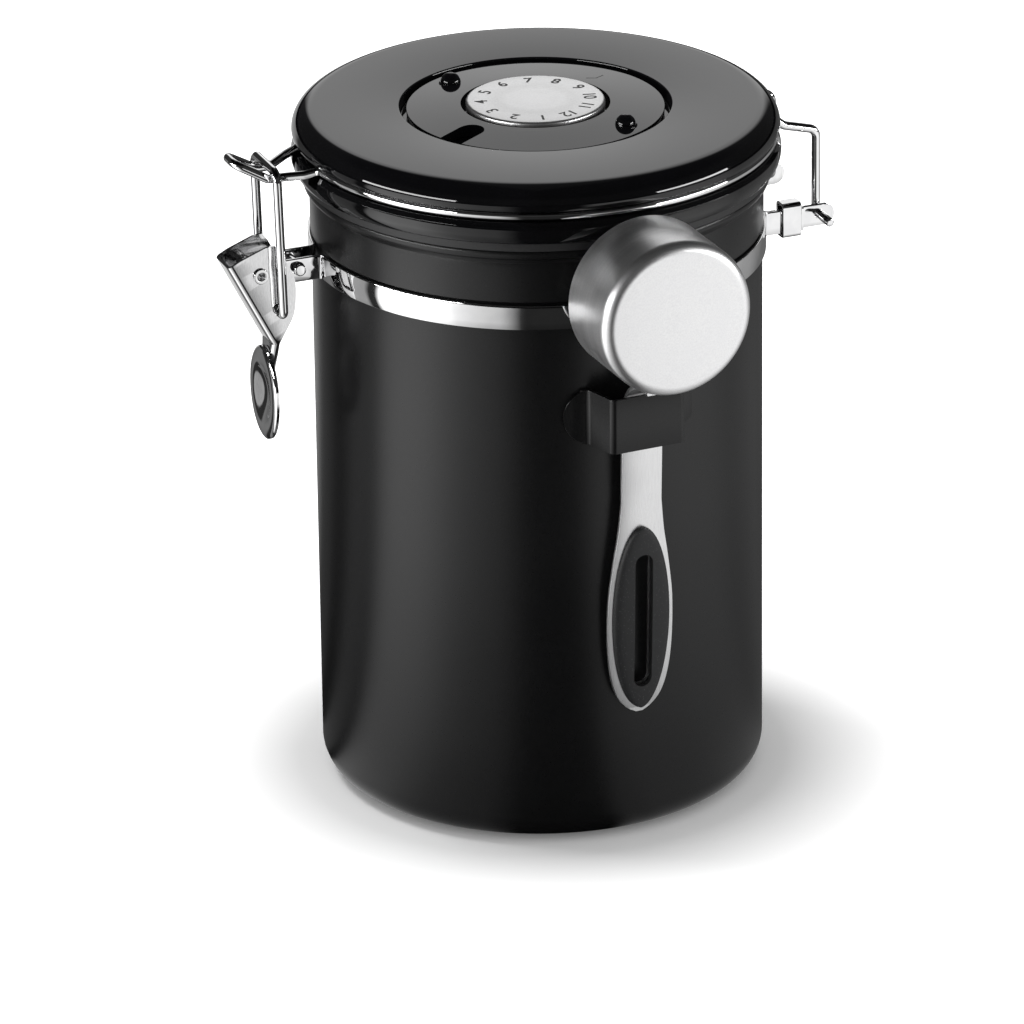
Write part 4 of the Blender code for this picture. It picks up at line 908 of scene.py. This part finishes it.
def make_lid_base(gloss):
    rim_inner = LID_R - LID_RIM_T
    floor_top = PLUG_Z + LID_WALL
    start_r = CAN_R + GASKET_OUT + GASKET_LIP_T
    profile = [(VALVE_BORE_R, PLUG_Z), (PLUG_BOTTOM_R, PLUG_Z), (PLUG_R, LID_Z - PLUG_DEPTH / 4), (PLUG_R, LID_Z)]
    profile.append((start_r, LID_Z))
    for share_out, share_up in LID_BULGE_SHARES:
        profile.append((start_r + (LID_R - start_r) * share_out, LID_Z + LID_BASE_H * share_up))
    profile += [
        (LID_R - GASKET_LIP_T * 1.4, LID_BASE_TOP - LID_BASE_H / 10),
        (LID_R - GASKET_LIP_T * 2, LID_BASE_TOP),
        (rim_inner, LID_BASE_TOP),
        (rim_inner, LID_Z + LID_BASE_H / 4),
        (PLUG_R - LID_WALL, LID_Z),
        (PLUG_BOTTOM_R - LID_WALL, floor_top),
        (VALVE_BORE_R, floor_top),
    ]
    made = turned("lid_lower_ring", profile, gloss, BIG_STEPS, edge=0.0003)
    notch_low = LID_BASE_TOP - NOTCH_DEPTH
    notch_high = LID_BASE_TOP + CAN_WALL
    half = WIRE_R + 2 * CLEARANCE
    out = LID_R + CAN_WALL
    inside = GROOVE_R - CLEARANCE
    for side in (-1, 1):
        y = side * HINGE_LEG_Y
        inner_x = math.sqrt(inside**2 - HINGE_LEG_Y**2)
        cut(made, box((inner_x, y - half, notch_low), (out, y + half, notch_high)))
        outer = LATCH_Y + side * (CATCH_EXIT_HALF + half)
        inner = LATCH_Y + side * (CATCH_KNEE_HALF - half)
        inner_x = math.sqrt(inside**2 - inner**2)
        low = (-out, min(outer, inner), notch_low)
        cut(made, box(low, (-inner_x, max(outer, inner), notch_high)))
    for k in range(VENTS):
        x, y = polar(VENT_CENTRE_R, math.tau * k / VENTS)
        cut(made, rod(VENT_R, (x, y, PLUG_Z - CAN_WALL), (x, y, floor_top + CAN_WALL)))
    seat(made, "lid", "black_gloss", "lid_base")


def make_lid_cap(gloss):
    over = CAP_TOP - CAP_Z - CAP_WALL / 2
    profile = [(RECESS_R, CAP_TOP)]
    for step in range(25):
        angle = math.radians(90 - 90 * step / 24)
        bulge_r = CAP_FLAT_R + (CAP_OUT - CAP_FLAT_R) * math.cos(angle)
        profile.append((bulge_r, CAP_TOP - over + over * math.sin(angle)))
    profile += [
        (CAP_OUT - CAP_WALL / 8, CAP_Z),
        (GROOVE_R, CAP_Z),
        (GROOVE_R, LID_BASE_TOP + CLEARANCE),
        (GROOVE_R - CAP_SKIRT_T, LID_BASE_TOP + CLEARANCE),
        (GROOVE_R - CAP_SKIRT_T, CAP_Z),
        (CAP_FLAT_R - CAP_WALL, CAP_TOP - CAP_WALL),
        (RECESS_R + CAP_WALL, CAP_TOP - CAP_WALL),
        (RECESS_R + CAP_WALL, DIAL_FLOOR_Z - CAP_WALL),
        (POST_R + CLEARANCE, DIAL_FLOOR_Z - CAP_WALL),
        (POST_R + CLEARANCE, DIAL_FLOOR_Z),
        (RECESS_R, DIAL_FLOOR_Z),
    ]
    made = turned("lid_top_shell", profile, gloss, BIG_STEPS, edge=0.0005)
    seat(made, "lid", "black_gloss", "lid_cap")


def ring_face_z(radius):
    """Height of the date ring's face, which falls a little from the disc to its rim."""
    share = (radius - WELL_R) / (DATE_RING_R - WELL_R)
    drop = (DATE_RING_CROWN + DATE_RING_FALL) * share**DATE_RING_FALL_POWER
    return DATE_RING_Z + DATE_RING_T + DATE_RING_CROWN - drop


def make_date_ring(gloss):
    top = DATE_RING_Z + DATE_RING_T
    edge = DATE_RING_EDGE
    bore = POST_SHOULDER_R + CLEARANCE
    face = [DATE_RING_R + (WELL_R - DATE_RING_R) * step / 10 for step in range(11)]
    profile = [(bore, DATE_RING_Z), (DATE_RING_R, DATE_RING_Z)]
    profile += [(radius, ring_face_z(radius)) for radius in face]
    profile += [(WELL_R, DATE_RING_Z + DATE_FLANGE_T), (bore, DATE_RING_Z + DATE_FLANGE_T)]
    made = turned("date_ring_face", profile, gloss, MID_STEPS)
    window_half = WINDOW_W / 2
    inner_mid = WINDOW_INNER_R + window_half
    outline = arc((inner_mid, 0), window_half, 90, 270, 24)
    outline += [(DATE_RING_R + CAN_WALL, -window_half), (DATE_RING_R + CAN_WALL, window_half)]
    tool = plate("window", [outline], DATE_RING_Z - CAN_WALL, top + CAN_WALL, gloss)
    tool.data.transform(Matrix.Rotation(math.radians(WINDOW_ANGLE_DEG), 4, "Z"))
    cut(made, tool)
    round_edges(made, edge, segments=4, angle_deg=30)
    seat(made, "date_ring", "black_gloss", "date_ring")
    for k, angle_deg in enumerate(STUD_ANGLES_DEG):
        skirt = STUD_R * STUD_SKIRT_SHARE
        dome = [(0, top - edge), (STUD_R, top - edge), (STUD_R, top + skirt * 0.4), (STUD_R - skirt, top + skirt)]
        for step in range(13):
            lift = math.radians(90 * step / 12)
            dome.append(((STUD_R - skirt * 1.2) * math.cos(lift), top + skirt + (STUD_H - skirt) * math.sin(lift)))
        dome[-1] = (0, top + STUD_H)
        stud = turned(f"finger_stud_{k}", dome, gloss, SMALL_STEPS, edge=0.00012)
        stud.data.transform(Matrix.Translation((*polar(STUD_CENTRE_R, math.radians(angle_deg)), 0)))
        seat(stud, "date_ring", "black_gloss")


def make_date_mark(material):
    """The small engraved pointer on the date ring."""
    bm = bmesh.new()
    spots = [Vector((x, y, ring_face_z(math.hypot(x, y)))) for x, y in MARK_POINTS]
    for start, end in zip(spots, spots[1:]):
        side = (end - start).cross(Vector((0, 0, 1))).normalized() * (MARK_W / 2)
        low = [start - side, start + side, end + side, end - side]
        high = [point + Vector((0, 0, INK_T)) for point in low]
        low = [point - Vector((0, 0, INK_T)) for point in low]
        loft([low, high], bm)
    made = add_object("date_mark", bm, material)
    seat(made, "date_ring", "black_gloss")


def make_month_disc(steel, black):
    top = DISC_Z + DISC_T
    bore = POST_R + CLEARANCE
    profile = [
        (0, top), (DISC_R, top), (DISC_R, DISC_Z), (bore, DISC_Z), (bore, top - DISC_T / 3), (0, top - DISC_T / 3),
    ]
    made = turned("month_disc_face", profile, steel, MID_STEPS, DISC_EDGE)
    seat(made, "month_disc", "satin_steel", "month_disc")
    for number in range(1, 13):
        angle = math.radians(NUMBER_FIRST_DEG - 30 * (number - 1))
        spot = (*polar(NUMBER_R, angle), top + INK_T / 2)
        bpy.ops.object.select_all(action="DESELECT")
        bpy.ops.object.text_add(location=spot, rotation=(0, 0, angle - math.pi / 2))
        text = bpy.context.active_object.data
        text.body = str(number)
        text.align_x = "CENTER"
        text.align_y = "CENTER"
        text.size = NUMBER_H / NUMBER_CAP_SHARE
        text.extrude = INK_T / 2
        text.offset = NUMBER_WEIGHT
        text.space_character = NUMBER_SPACING
        text.resolution_u = 6
        bpy.ops.object.convert(target="MESH")
        seat(finish_piece(f"month_{number}", black), "month_disc", "satin_steel")


def lid_wire_points():
    ring_exit = math.degrees(math.asin(HINGE_LEG_Y / RING_WIRE_R))
    steps = 90
    catch_rise = (CATCH_BEND_X - CATCH_END_X) * math.tan(math.radians(CATCH_RISE_DEG))
    halves = []
    for side in (-1, 1):
        leg_y = side * HINGE_LEG_Y
        corners = [
            (HINGE_X, side * HINGE_PIN_END_Y, HINGE_Z),
            (HINGE_X, leg_y, HINGE_Z),
            (HINGE_X, leg_y, HINGE_KNEE_Z),
            (HINGE_ARM_X, leg_y, HINGE_ARM_Z),
        ]
        radii = [0, PIN_BEND_R, WIRE_BEND_R, WIRE_BEND_R]
        exit_y = LATCH_Y + side * CATCH_EXIT_HALF
        last = 180 - side * math.degrees(math.asin(exit_y / RING_WIRE_R))
        for step in range(steps + 1):
            if step in (1, 2, steps - 2, steps - 1):
                continue
            angle = side * math.radians(ring_exit + (last - ring_exit) * step / steps)
            corners.append((*polar(RING_WIRE_R, angle), RING_WIRE_Z))
            radii.append(RING_BEND_R if step in (0, steps) else 0)
        for x, half, z, bend in (
            (CATCH_KNEE_X, CATCH_KNEE_HALF, CATCH_KNEE_Z, RING_BEND_R),
            (CATCH_NECK_X, CATCH_NECK_HALF, CATCH_Z, WIRE_BEND_R),
            (CATCH_BEND_X, CATCH_NECK_HALF, CATCH_Z, WIRE_BEND_R),
            (CATCH_END_X, CATCH_END_HALF, CATCH_Z + catch_rise, CATCH_END_R),
        ):
            corners.append((x, LATCH_Y + side * half, z))
            radii.append(bend)
        halves.append((corners, radii))
    (front, front_radii), (rear, rear_radii) = halves
    return rounded(front + rear[::-1], (front_radii + rear_radii[::-1])[1:-1])


# Latch


def bail_points():
    inner = CHEEK_INNER_HALF - BAIL_HOOK_IN
    front = [
        (BAIL_HOLE_X, LATCH_Y - inner, BAIL_HOLE_Z),
        (BAIL_HOLE_X, LATCH_Y - BAIL_HALF, BAIL_HOLE_Z),
        (BAIL_TOP_X, LATCH_Y - BAIL_HALF, BAIL_TOP_Z),
    ]
    rear = [(x, 2 * LATCH_Y - y, z) for x, y, z in reversed(front)]
    return rounded(front + rear, [BAIL_HOOK_R, BAIL_CORNER_R, BAIL_CORNER_R, BAIL_HOOK_R])


def cheek_section(half, depth):
    """Outline of the lever's channel across its spine: (sideways, towards the can)."""
    fold = LEVER_FOLD_R
    inner_fold = fold - LEVER_T
    outer = arc((half - fold, fold), fold, -90, 0, 8)
    inside = arc((half - fold, fold), inner_fold, 0, -90, 6)
    right = outer + [(half, depth)]
    inner = [(half - LEVER_T, depth)] + inside
    return [(-x, d) for x, d in reversed(right)] + right + inner + [(-x, d) for x, d in reversed(inner)]


def make_lever(steel):
    top = Vector((LEVER_TOP_X, LEVER_TOP_Z, 0))
    foot = Vector((LEVER_FOOT_X, LEVER_FOOT_Z, 0))
    stations = []
    places = [row[0] for row in CHEEK_DEPTH_SHARES[:3]]
    shoulder = places[-1]
    places += [shoulder + (CHEEK_DEPTH_SHARES[-1][0] - shoulder) * step / 20 for step in range(1, 21)]
    for place in places:
        share = smooth_share(CHEEK_DEPTH_SHARES, place)
        stations.append((top.lerp(foot, place), LEVER_DEPTH * share, CHEEK_HALF))
    neck_half = CHEEK_HALF * LEVER_NECK_HALF_SHARE
    neck = Vector((LEVER_NECK_X, LEVER_NECK_Z, 0))
    tab_face = TAB_X - TAB_T / 4
    hold = Vector((tab_face, TAB_Z + TAB_L / 4, 0))
    stations.append((foot, LEVER_LIP, (CHEEK_HALF + neck_half) / 2))
    stations.append((neck, LEVER_LIP, neck_half))
    stations.append((hold, LEVER_LIP, neck_half))
    path = [station[0] for station in stations]
    rings = []
    for (point, depth, half), side in zip(stations, offsets(path)):
        ring = []
        for across, inward in cheek_section(half, depth):
            spot = point + side * inward
            ring.append((spot.x, LATCH_Y + across, spot.y))
        rings.append(ring)
    made = add_object("toggle_lever", loft(rings), steel)
    cut(made, make_tab(steel), "UNION")
    reach = CHEEK_HALF + LEVER_T
    for radius, x, z in ((RIVET_R, PIVOT_X, PIVOT_Z), (WIRE_R, BAIL_HOLE_X, BAIL_HOLE_Z)):
        drill(made, radius, x, z, LATCH_Y - reach, LATCH_Y + reach)
    seat(made, "lever", "polished_steel", "latch_lever")


def make_tab(steel):
    """Oval sheet with a thumb dish in its outer face and its edge rolled inwards."""
    steps = 72
    rings = []
    for lift, rows in ((-TAB_T / 2, TAB_SHARES), (TAB_T / 2, TAB_SHARES[::-1])):
        for reach, dish, roll in rows:
            x = TAB_X + lift + TAB_DISH * dish + TAB_ROLL * roll
            ring = []
            for step in range(steps):
                angle = math.tau * step / steps
                y = LATCH_Y + TAB_W / 2 * reach * math.cos(angle)
                ring.append((x, y, TAB_Z + TAB_L / 2 * reach * math.sin(angle)))
            rings.append(ring)
    return add_object("thumb_tab", loft(rings), steel)


def make_pins(steel):
    """The clamp pin and the hollow pivot rivet, from half of each profile: (radius, place along it)."""
    end = EAR_HALF + CLAMP_OUT
    neck = RIVET_HALF - RIVET_HEAD_T
    pin = [(0, -end), (CLAMP_R, -end)]
    rivet = [(RIVET_BORE_R, -RIVET_HALF), (RIVET_HEAD_R, -RIVET_HALF), (RIVET_HEAD_R, -neck), (RIVET_R, -neck)]
    for name, node, x, z, half, edge in (
        ("clamp_pin", "latch_clamp_pin", CLAMP_X, CLAMP_Z, pin, CLAMP_R / 4),
        ("pivot_rivet", "lever_pivot_rivet", PIVOT_X, PIVOT_Z, rivet, RIVET_EDGE),
    ):
        profile = half + [(radius, -along) for radius, along in reversed(half)]
        made = turned(name, profile, steel, SMALL_STEPS, edge)
        made.data.transform(Matrix.Translation((x, LATCH_Y, z)) @ Matrix.Rotation(math.pi / 2, 4, "X"))
        seat(made, "canister", "polished_steel", node)


# Scoop and clip


def make_clip(paint):
    foot_r = CAN_R + CLEARANCE + CLIP_T / 2
    face = CLIP_OUT - CLIP_T / 2
    foot_deg = math.degrees(math.asin(CLIP_FOOT_HALF / foot_r))
    flange = arc((0, 0), foot_r, -90 + CLIP_FLANGE_DEG, -90 + foot_deg, 16)
    face_half = CLIP_FACE_HALF - CLIP_T / 2
    corners = flange + [(face_half, -face), (-face_half, -face)]
    corners += [(-x, y) for x, y in reversed(flange)]
    flat = [0] * (len(flange) - 2)
    radii = flat + [CLIP_FOOT_BEND_R, CLIP_BEND_R, CLIP_BEND_R, CLIP_FOOT_BEND_R] + flat
    path, halves = round_tips(rounded(corners, radii), CLIP_H / 2, True, True)
    made = add_object("clip_strap", ribbon(path, halves, CLIP_T), paint)
    turn = Matrix.Rotation(math.radians(SCOOP_TURN_DEG), 4, "Z")
    made.data.transform(Matrix.Translation((0, 0, CLIP_Z)) @ turn)
    seat(made, "canister", "black_powder_coat", "scoop_clip")


def make_cup(steel):
    bottom = CUP_MOUTH + CUP_DEPTH
    fillet_mid = (CUP_R - CUP_FILLET_R, bottom - CUP_FILLET_R)
    profile = [(0, bottom)]
    profile += arc(fillet_mid, CUP_FILLET_R, 90, 0, 12)
    profile += [(CUP_R, CUP_MOUTH), (CUP_R - CUP_WALL, CUP_MOUTH)]
    profile += arc(fillet_mid, CUP_FILLET_R - CUP_WALL, 0, 90, 8)
    profile += [(0, bottom - CUP_WALL)]
    made = turned("scoop_bowl", profile, steel, MID_STEPS, edge=0.00025)
    turn = Matrix.Rotation(math.radians(SCOOP_TURN_DEG), 4, "Z") @ Matrix.Rotation(math.pi / 2, 4, "X")
    made.data.transform(Matrix.Translation((0, 0, CUP_Z)) @ turn)
    seat(made, "scoop", "satin_steel", "scoop_cup")


def handle_half(z):
    place = min(1, (z - HANDLE_TIP_Z) / HANDLE_TAPER_L)
    return HANDLE_HALF_W * smooth_share(HANDLE_WIDTH_SHARES, place)


def lean(shape):
    """Swing (sideways, up, outwards) about the handle's bend."""
    bend = Matrix.Translation((0, HANDLE_BEND_Z, HANDLE_BEND_RHO))
    shape.transform(bend @ Matrix.Rotation(math.radians(HANDLE_LEAN_DEG), 4, "X") @ bend.inverted())
    return shape


def scoop_frame(shape):
    """Turn (sideways, up, outwards) into the canister's frame."""
    upright = Matrix(((1, 0, 0, 0), (0, 0, -1, 0), (0, 1, 0, 0), (0, 0, 0, 1)))
    shape.transform(Matrix.Rotation(math.radians(SCOOP_TURN_DEG), 4, "Z") @ upright)
    return shape


def slot_cutter(material):
    low = (0, SLOT_LOW_Z + SLOT_HALF_W)
    high = (0, SLOT_HIGH_Z - SLOT_HALF_W)
    outline = arc(low, SLOT_HALF_W, 180, 360, 16) + arc(high, SLOT_HALF_W, 0, 180, 16)
    tool = plate("slot", [outline], HANDLE_BACK - CAN_WALL, HANDLE_BACK + HANDLE_T + GRIP_T + CAN_WALL, material)
    scoop_frame(lean(tool.data))
    return tool


def make_handle(steel):
    steps = 72
    centre = Vector((HANDLE_BEND_RHO, HANDLE_BEND_Z, 0))
    swing = Matrix.Rotation(math.radians(-HANDLE_LEAN_DEG), 3, "Z")
    path = []
    halves = []
    for step in range(steps + 1):
        z = HANDLE_TIP_Z + HANDLE_TAPER_L * (step / steps) ** HANDLE_STEP_POWER
        path.append(centre + swing @ (Vector((HANDLE_MID, z, 0)) - centre))
        halves.append(handle_half(z))
    end_half = halves[-1]
    bend = arc((HANDLE_BEND_RHO, HANDLE_BEND_Z), HANDLE_BEND_R, 180 - HANDLE_LEAN_DEG, 90, 20)
    for rho, z in [*bend, (HANDLE_TAB_OUT, HANDLE_BEND_Z + HANDLE_BEND_R)]:
        path.append(Vector((rho, z, 0)))
        halves.append(end_half)
    bm = ribbon(path, halves, HANDLE_T)
    bm.transform(Matrix(((0, 0, 1, 0), (0, 1, 0, 0), (1, 0, 0, 0), (0, 0, 0, 1))))
    made = add_object("scoop_stem", scoop_frame(bm), steel)
    cut(made, slot_cutter(steel))
    seat(made, "scoop", "satin_steel", "scoop_handle")


def make_grip(rubber):
    """Oval silicone pad, its front domed and its edge rolled."""
    back = HANDLE_BACK + HANDLE_T + CLEARANCE
    steps = 72
    columns = 24
    rings = []
    for step in range(steps + 1):
        swing = math.pi * step / steps
        z = GRIP_LOW_Z + GRIP_L * (1 - math.cos(swing)) / 2
        reach = max(0.06, math.sin(swing))
        half = GRIP_HALF_W * reach
        rise = (GRIP_T - GRIP_EDGE_T) * math.sqrt(reach)
        ring = [(-half, z, back), (half, z, back)]
        for k in range(columns + 1):
            across = math.cos(math.pi * k / columns)
            roll = (1 - abs(across) ** GRIP_ROLL_POWER) ** 0.5
            dome = 1 - across**2
            swell = GRIP_ROLL_SHARE * roll + (1 - GRIP_ROLL_SHARE) * dome
            ring.append((half * across, z, back + GRIP_EDGE_T * roll + rise * swell))
        rings.append(ring)
    made = add_object("grip_pad", scoop_frame(lean(loft(rings))), rubber)
    cut(made, slot_cutter(rubber))
    round_edges(made, GRIP_ROUND_EDGE, angle_deg=40)
    seat(made, "scoop", "dark_silicone", "scoop_grip")


# Stage


def around(tree, vector):
    """A ramp's place by bearing about Z (0.5 is the front, -Y, and it grows towards +X), and the height."""
    split = add_node(tree, "ShaderNodeSeparateXYZ", {"Vector": vector})
    back = add_node(tree, "ShaderNodeMath", {0: split["Y"], 1: -1}, operation="MULTIPLY")["Value"]
    angle = add_node(tree, "ShaderNodeMath", {0: split["X"], 1: back}, operation="ARCTAN2")["Value"]
    turn = {"Value": angle, "From Min": -math.pi, "From Max": math.pi}
    return add_node(tree, "ShaderNodeMapRange", turn)["Result"], split["Z"]


def bands(tree, *ramps):
    """Greys by one or two ramps, (place, stops) each. Two are multiplied."""
    made = []
    for place, stops in ramps:
        greys = [(spot, (level, level, level, 1)) for spot, level in stops]
        made.append(add_node(tree, "ShaderNodeValToRGB", {"Fac": place}, greys)["Color"])
    if len(made) == 1:
        return made[0]
    both = {"Factor": 1, "A": made[0], "B": made[1]}
    return add_node(tree, "ShaderNodeMix", both, data_type="RGBA", blend_type="MULTIPLY")["Result"]


def by_ray(tree, ray, others, these):
    """One colour for a kind of ray and another for the rest."""
    paths = tree.nodes.new("ShaderNodeLightPath")
    inputs = {"Factor": paths.outputs[ray], "A": others, "B": these}
    return add_node(tree, "ShaderNodeMix", inputs, data_type="RGBA")["Result"]


def by_bearing(rows):
    """Stops for a ramp from (bearing in degrees, level) rows."""
    return [((degrees + 180) / 360, level) for degrees, level in rows]


# The studio: a white backdrop behind, a softbox to each side of the camera, and dark flags between them
BACKDROP_ROWS = ((-180, 0.03), (0, 0.03), (140, 0.04), (147, 1.0), (168, 1.0), (173, 0.04), (180, 0.03))
BACKDROP_TALL = ((0.0, 0.02), (0.07, 0.02), (0.1, 1.0), (0.55, 1.0), (0.72, 0.05), (1.0, 0.03))
BOUNCE_ROWS = (
    (-180, 0.7), (-168, 0.7), (-162, 0.12), (-145, 0.2), (-142, 0.03), (-128, 0.03), (-125, 0.4), (-112, 0.35),
    (-110, 0.03), (-105, 0.03), (-103, 1.4), (-95, 2.1), (-77, 2.1), (-60, 1.05), (-47, 0.72), (-39, 0.62),
    (-29.5, 0.04), (-27.5, 0.02), (-2, 0.02), (4, 0.86), (9, 0.86), (14, 1.05), (48, 1.05), (66, 0.8),
    (82, 0.4), (106, 0.3), (122, 0.15), (162, 0.1), (168, 0.7), (180, 0.7),
)
# What mirrors see of the floor dims towards the can: a painted shade in the low reflections.
BOUNCE_PAINTED_SHADE_BY_REACH = ((0.0, 0.35), (0.09, 0.35), (0.3, 1.0), (1.0, 1.0))
# The floor's glow to the camera by distance from the can: dim near it, a painted shade round the base, and white
# further out, where it hides the far shadow.
FLOOR_GLOW_WITH_PAINTED_SHADE = ((0.0, 0.1), (0.066, 0.1), (0.096, 0.6), (0.147, 1.0), (1.0, 1.0))
BLACK = (0, 0, 0, 1)
WHITE = (1, 1, 1, 1)
ROOM_GREY = (0.62, 0.62, 0.62, 1)
FLOOR_RADIUS = 6
FLOOR_STEPS = 96
FLOOR_DROP = 0.0004
# Each softbox: name, bearing, width. Then what both share.
SOFTBOXES = (("softbox_left", -82, 0.9), ("softbox_right", 54, 0.75))
SOFTBOX_DISTANCE = 1.0
SOFTBOX_HEIGHT = 0.34
SOFTBOX_TALL = 0.12
SOFTBOX_AIM = (0, 0, 0.17)
KEY_BEARING = -135
KEY_DISTANCE = 1.1
KEY_HEIGHT = 1.9
KEY_SIDE = 0.6
KEY_AIM = (0, 0, 0.08)
LAMP_RADIANCE = 13


def make_world():
    """White to the camera, a backdrop and dark surroundings in mirrors, a plain soft white for the rest."""
    world = bpy.data.worlds.new("studio")
    bpy.context.scene.world = world
    world.use_nodes = True
    tree = world.node_tree
    turn, height = around(tree, tree.nodes.new("ShaderNodeTexCoord").outputs["Generated"])
    backdrop = bands(tree, (turn, by_bearing(BACKDROP_ROWS)), (height, BACKDROP_TALL))
    mirrored = by_ray(tree, "Is Glossy Ray", ROOM_GREY, backdrop)
    seen = by_ray(tree, "Is Camera Ray", mirrored, WHITE)
    fill_inputs(tree.nodes["Background"], {"Color": seen, "Strength": 1})


def area_light(name, bearing_deg, distance, height, aim, wide, tall):
    """A softbox at a bearing, of a brightness given as its radiance."""
    light = bpy.data.lights.new(name, "AREA")
    light.shape = "RECTANGLE"
    light.size = wide
    light.size_y = tall
    light.energy = LAMP_RADIANCE * math.pi * wide * tall
    made = bpy.data.objects.new(name, light)
    turn = math.radians(bearing_deg)
    made.location = (distance * math.sin(turn), -distance * math.cos(turn), height)
    made.rotation_euler = (Vector(aim) - made.location).to_track_quat("-Z", "Y").to_euler()
    made.visible_camera = False
    bpy.context.collection.objects.link(made)
    return made


def make_floor():
    """A pale floor that holds the canister's soft shadow, deepened by painted shade: to the camera it glows white,
    less near the can. Mirrors see the softboxes laid round on it, painted dimmer near the can.
    """
    material, tree, shader, spot = new_material("pale_floor")
    turn, _ = around(tree, spot)
    reach = add_node(tree, "ShaderNodeVectorMath", {0: spot}, operation="LENGTH")["Value"]
    # Mirrors see the floor's glow by bearing, dimmed near the can as painted shade.
    bounce = bands(tree, (turn, by_bearing(BOUNCE_ROWS)), (reach, BOUNCE_PAINTED_SHADE_BY_REACH))
    patch = add_node(tree, "ShaderNodeTexNoise", {"Vector": spot, "Scale": cells(25), "Detail": 2})
    plain = {"Emission Strength": 1, "Roughness": 0.9, "Specular IOR Level": 0}
    pale = dress(tree, shader, patch["Fac"], ("#F3F3F3", "#F6F6F6"), plain)
    # The camera sees the floor glow, weaker near the can: painted shade round the base.
    seen = by_ray(tree, "Is Camera Ray", BLACK, bands(tree, (reach, FLOOR_GLOW_WITH_PAINTED_SHADE)))
    glow = by_ray(tree, "Is Glossy Ray", seen, bounce)
    fill_inputs(shader, {"Base Color": by_ray(tree, "Is Glossy Ray", pale, BLACK), "Emission Color": glow})
    bpy.ops.object.select_all(action="DESELECT")
    bpy.ops.mesh.primitive_circle_add(
        vertices=FLOOR_STEPS, radius=FLOOR_RADIUS, fill_type="NGON", location=(0, 0, -FLOOR_DROP)
    )
    finish_piece("floor", material)


def make_camera():
    elevation = math.radians(CAMERA_ELEVATION_DEG)
    right = Vector((1, 0, 0))
    back = Vector((0, -math.cos(elevation), math.sin(elevation)))
    up = back.cross(right)
    rolled_right = right * math.cos(CAMERA_ROLL) - up * math.sin(CAMERA_ROLL)
    rolled_up = right * math.sin(CAMERA_ROLL) + up * math.cos(CAMERA_ROLL)
    turn = Matrix.Rotation(math.radians(CAMERA_TURN_DEG), 3, "Z")
    axes = [turn @ axis for axis in (rolled_right, rolled_up, back)]
    data = bpy.data.cameras.new("camera")
    data.lens = LENS_MM
    data.sensor_width = SENSOR_MM
    data.clip_end = 20
    made = bpy.data.objects.new("camera", data)
    rotation = Matrix((axes[0], axes[1], axes[2])).transposed().to_4x4()
    made.matrix_world = Matrix.Translation(CAMERA_PLACE) @ rotation
    bpy.context.collection.objects.link(made)
    bpy.context.scene.camera = made


def make_stage():
    bpy.context.scene.view_settings.view_transform = "Standard"
    make_world()
    make_floor()
    for name, turn, wide in SOFTBOXES:
        softbox = area_light(name, turn, SOFTBOX_DISTANCE, SOFTBOX_HEIGHT, SOFTBOX_AIM, wide, SOFTBOX_TALL)
        softbox.visible_diffuse = False
    key = area_light("key_high", KEY_BEARING, KEY_DISTANCE, KEY_HEIGHT, KEY_AIM, KEY_SIDE, KEY_SIDE)
    key.visible_glossy = False
    make_camera()


def main():
    paint = powder_coat()
    gloss = gloss_black()
    chrome = polished_steel()
    scoop_turn = math.radians(SCOOP_TURN_DEG)
    outward = (math.sin(scoop_turn), -math.cos(scoop_turn), 0)
    cup_steel = turned_steel("cup_steel", (0, 0, CUP_Z), outward, 0.31, 0.41)
    handle_steel = brushed_steel("handle_steel", (0.192, 0.192, 11.1))
    disc_steel = turned_steel("disc_steel", (0, 0, 0), (0, 0, 1), 0.30, 0.40)
    lever_steel = brushed_steel("lever_steel", (0.25, 0.25, 1.43), 0.05, 0.09, 0.02)
    grip = silicone("grip_silicone", "#1B1C1D", "#262628", "#4B4B4D")
    seal = silicone("seal_silicone", "#242425", "#2D2D2E", None, 0.45)
    white = silicone("valve_silicone", "#DFDFDD", "#EAEAE7")
    black = ink()

    make_can(paint)
    make_strap("front", -1, chrome)
    make_strap("rear", 1, chrome)
    make_bracket(chrome)
    make_ferrule("front", -1, chrome)
    make_ferrule("rear", 1, chrome)
    make_gasket(seal)
    make_lid_base(gloss)
    make_lid_cap(gloss)
    make_date_ring(gloss)
    make_date_mark(black)
    make_month_disc(disc_steel, black)
    seat(wire("closure_wire", lid_wire_points(), chrome), "lid", "polished_steel", "lid_wire")
    seat(wire("bail_loop", bail_points(), chrome), "bail", "polished_steel", "bail_wire")
    make_lever(lever_steel)
    make_pins(chrome)
    make_clip(paint)
    make_cup(cup_steel)
    make_handle(handle_steel)
    make_grip(grip)
    for node, material in (
        ("dial_spindle", chrome),
        ("valve_cover", brushed_steel("cover_steel", (1.11, 1.11, 1.11))),
        ("degassing_valve", white),
    ):
        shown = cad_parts[node]
        shown.data.materials.clear()
        shown.data.materials.append(material)
    make_stage()


main()
bpy.context.view_layer.update()
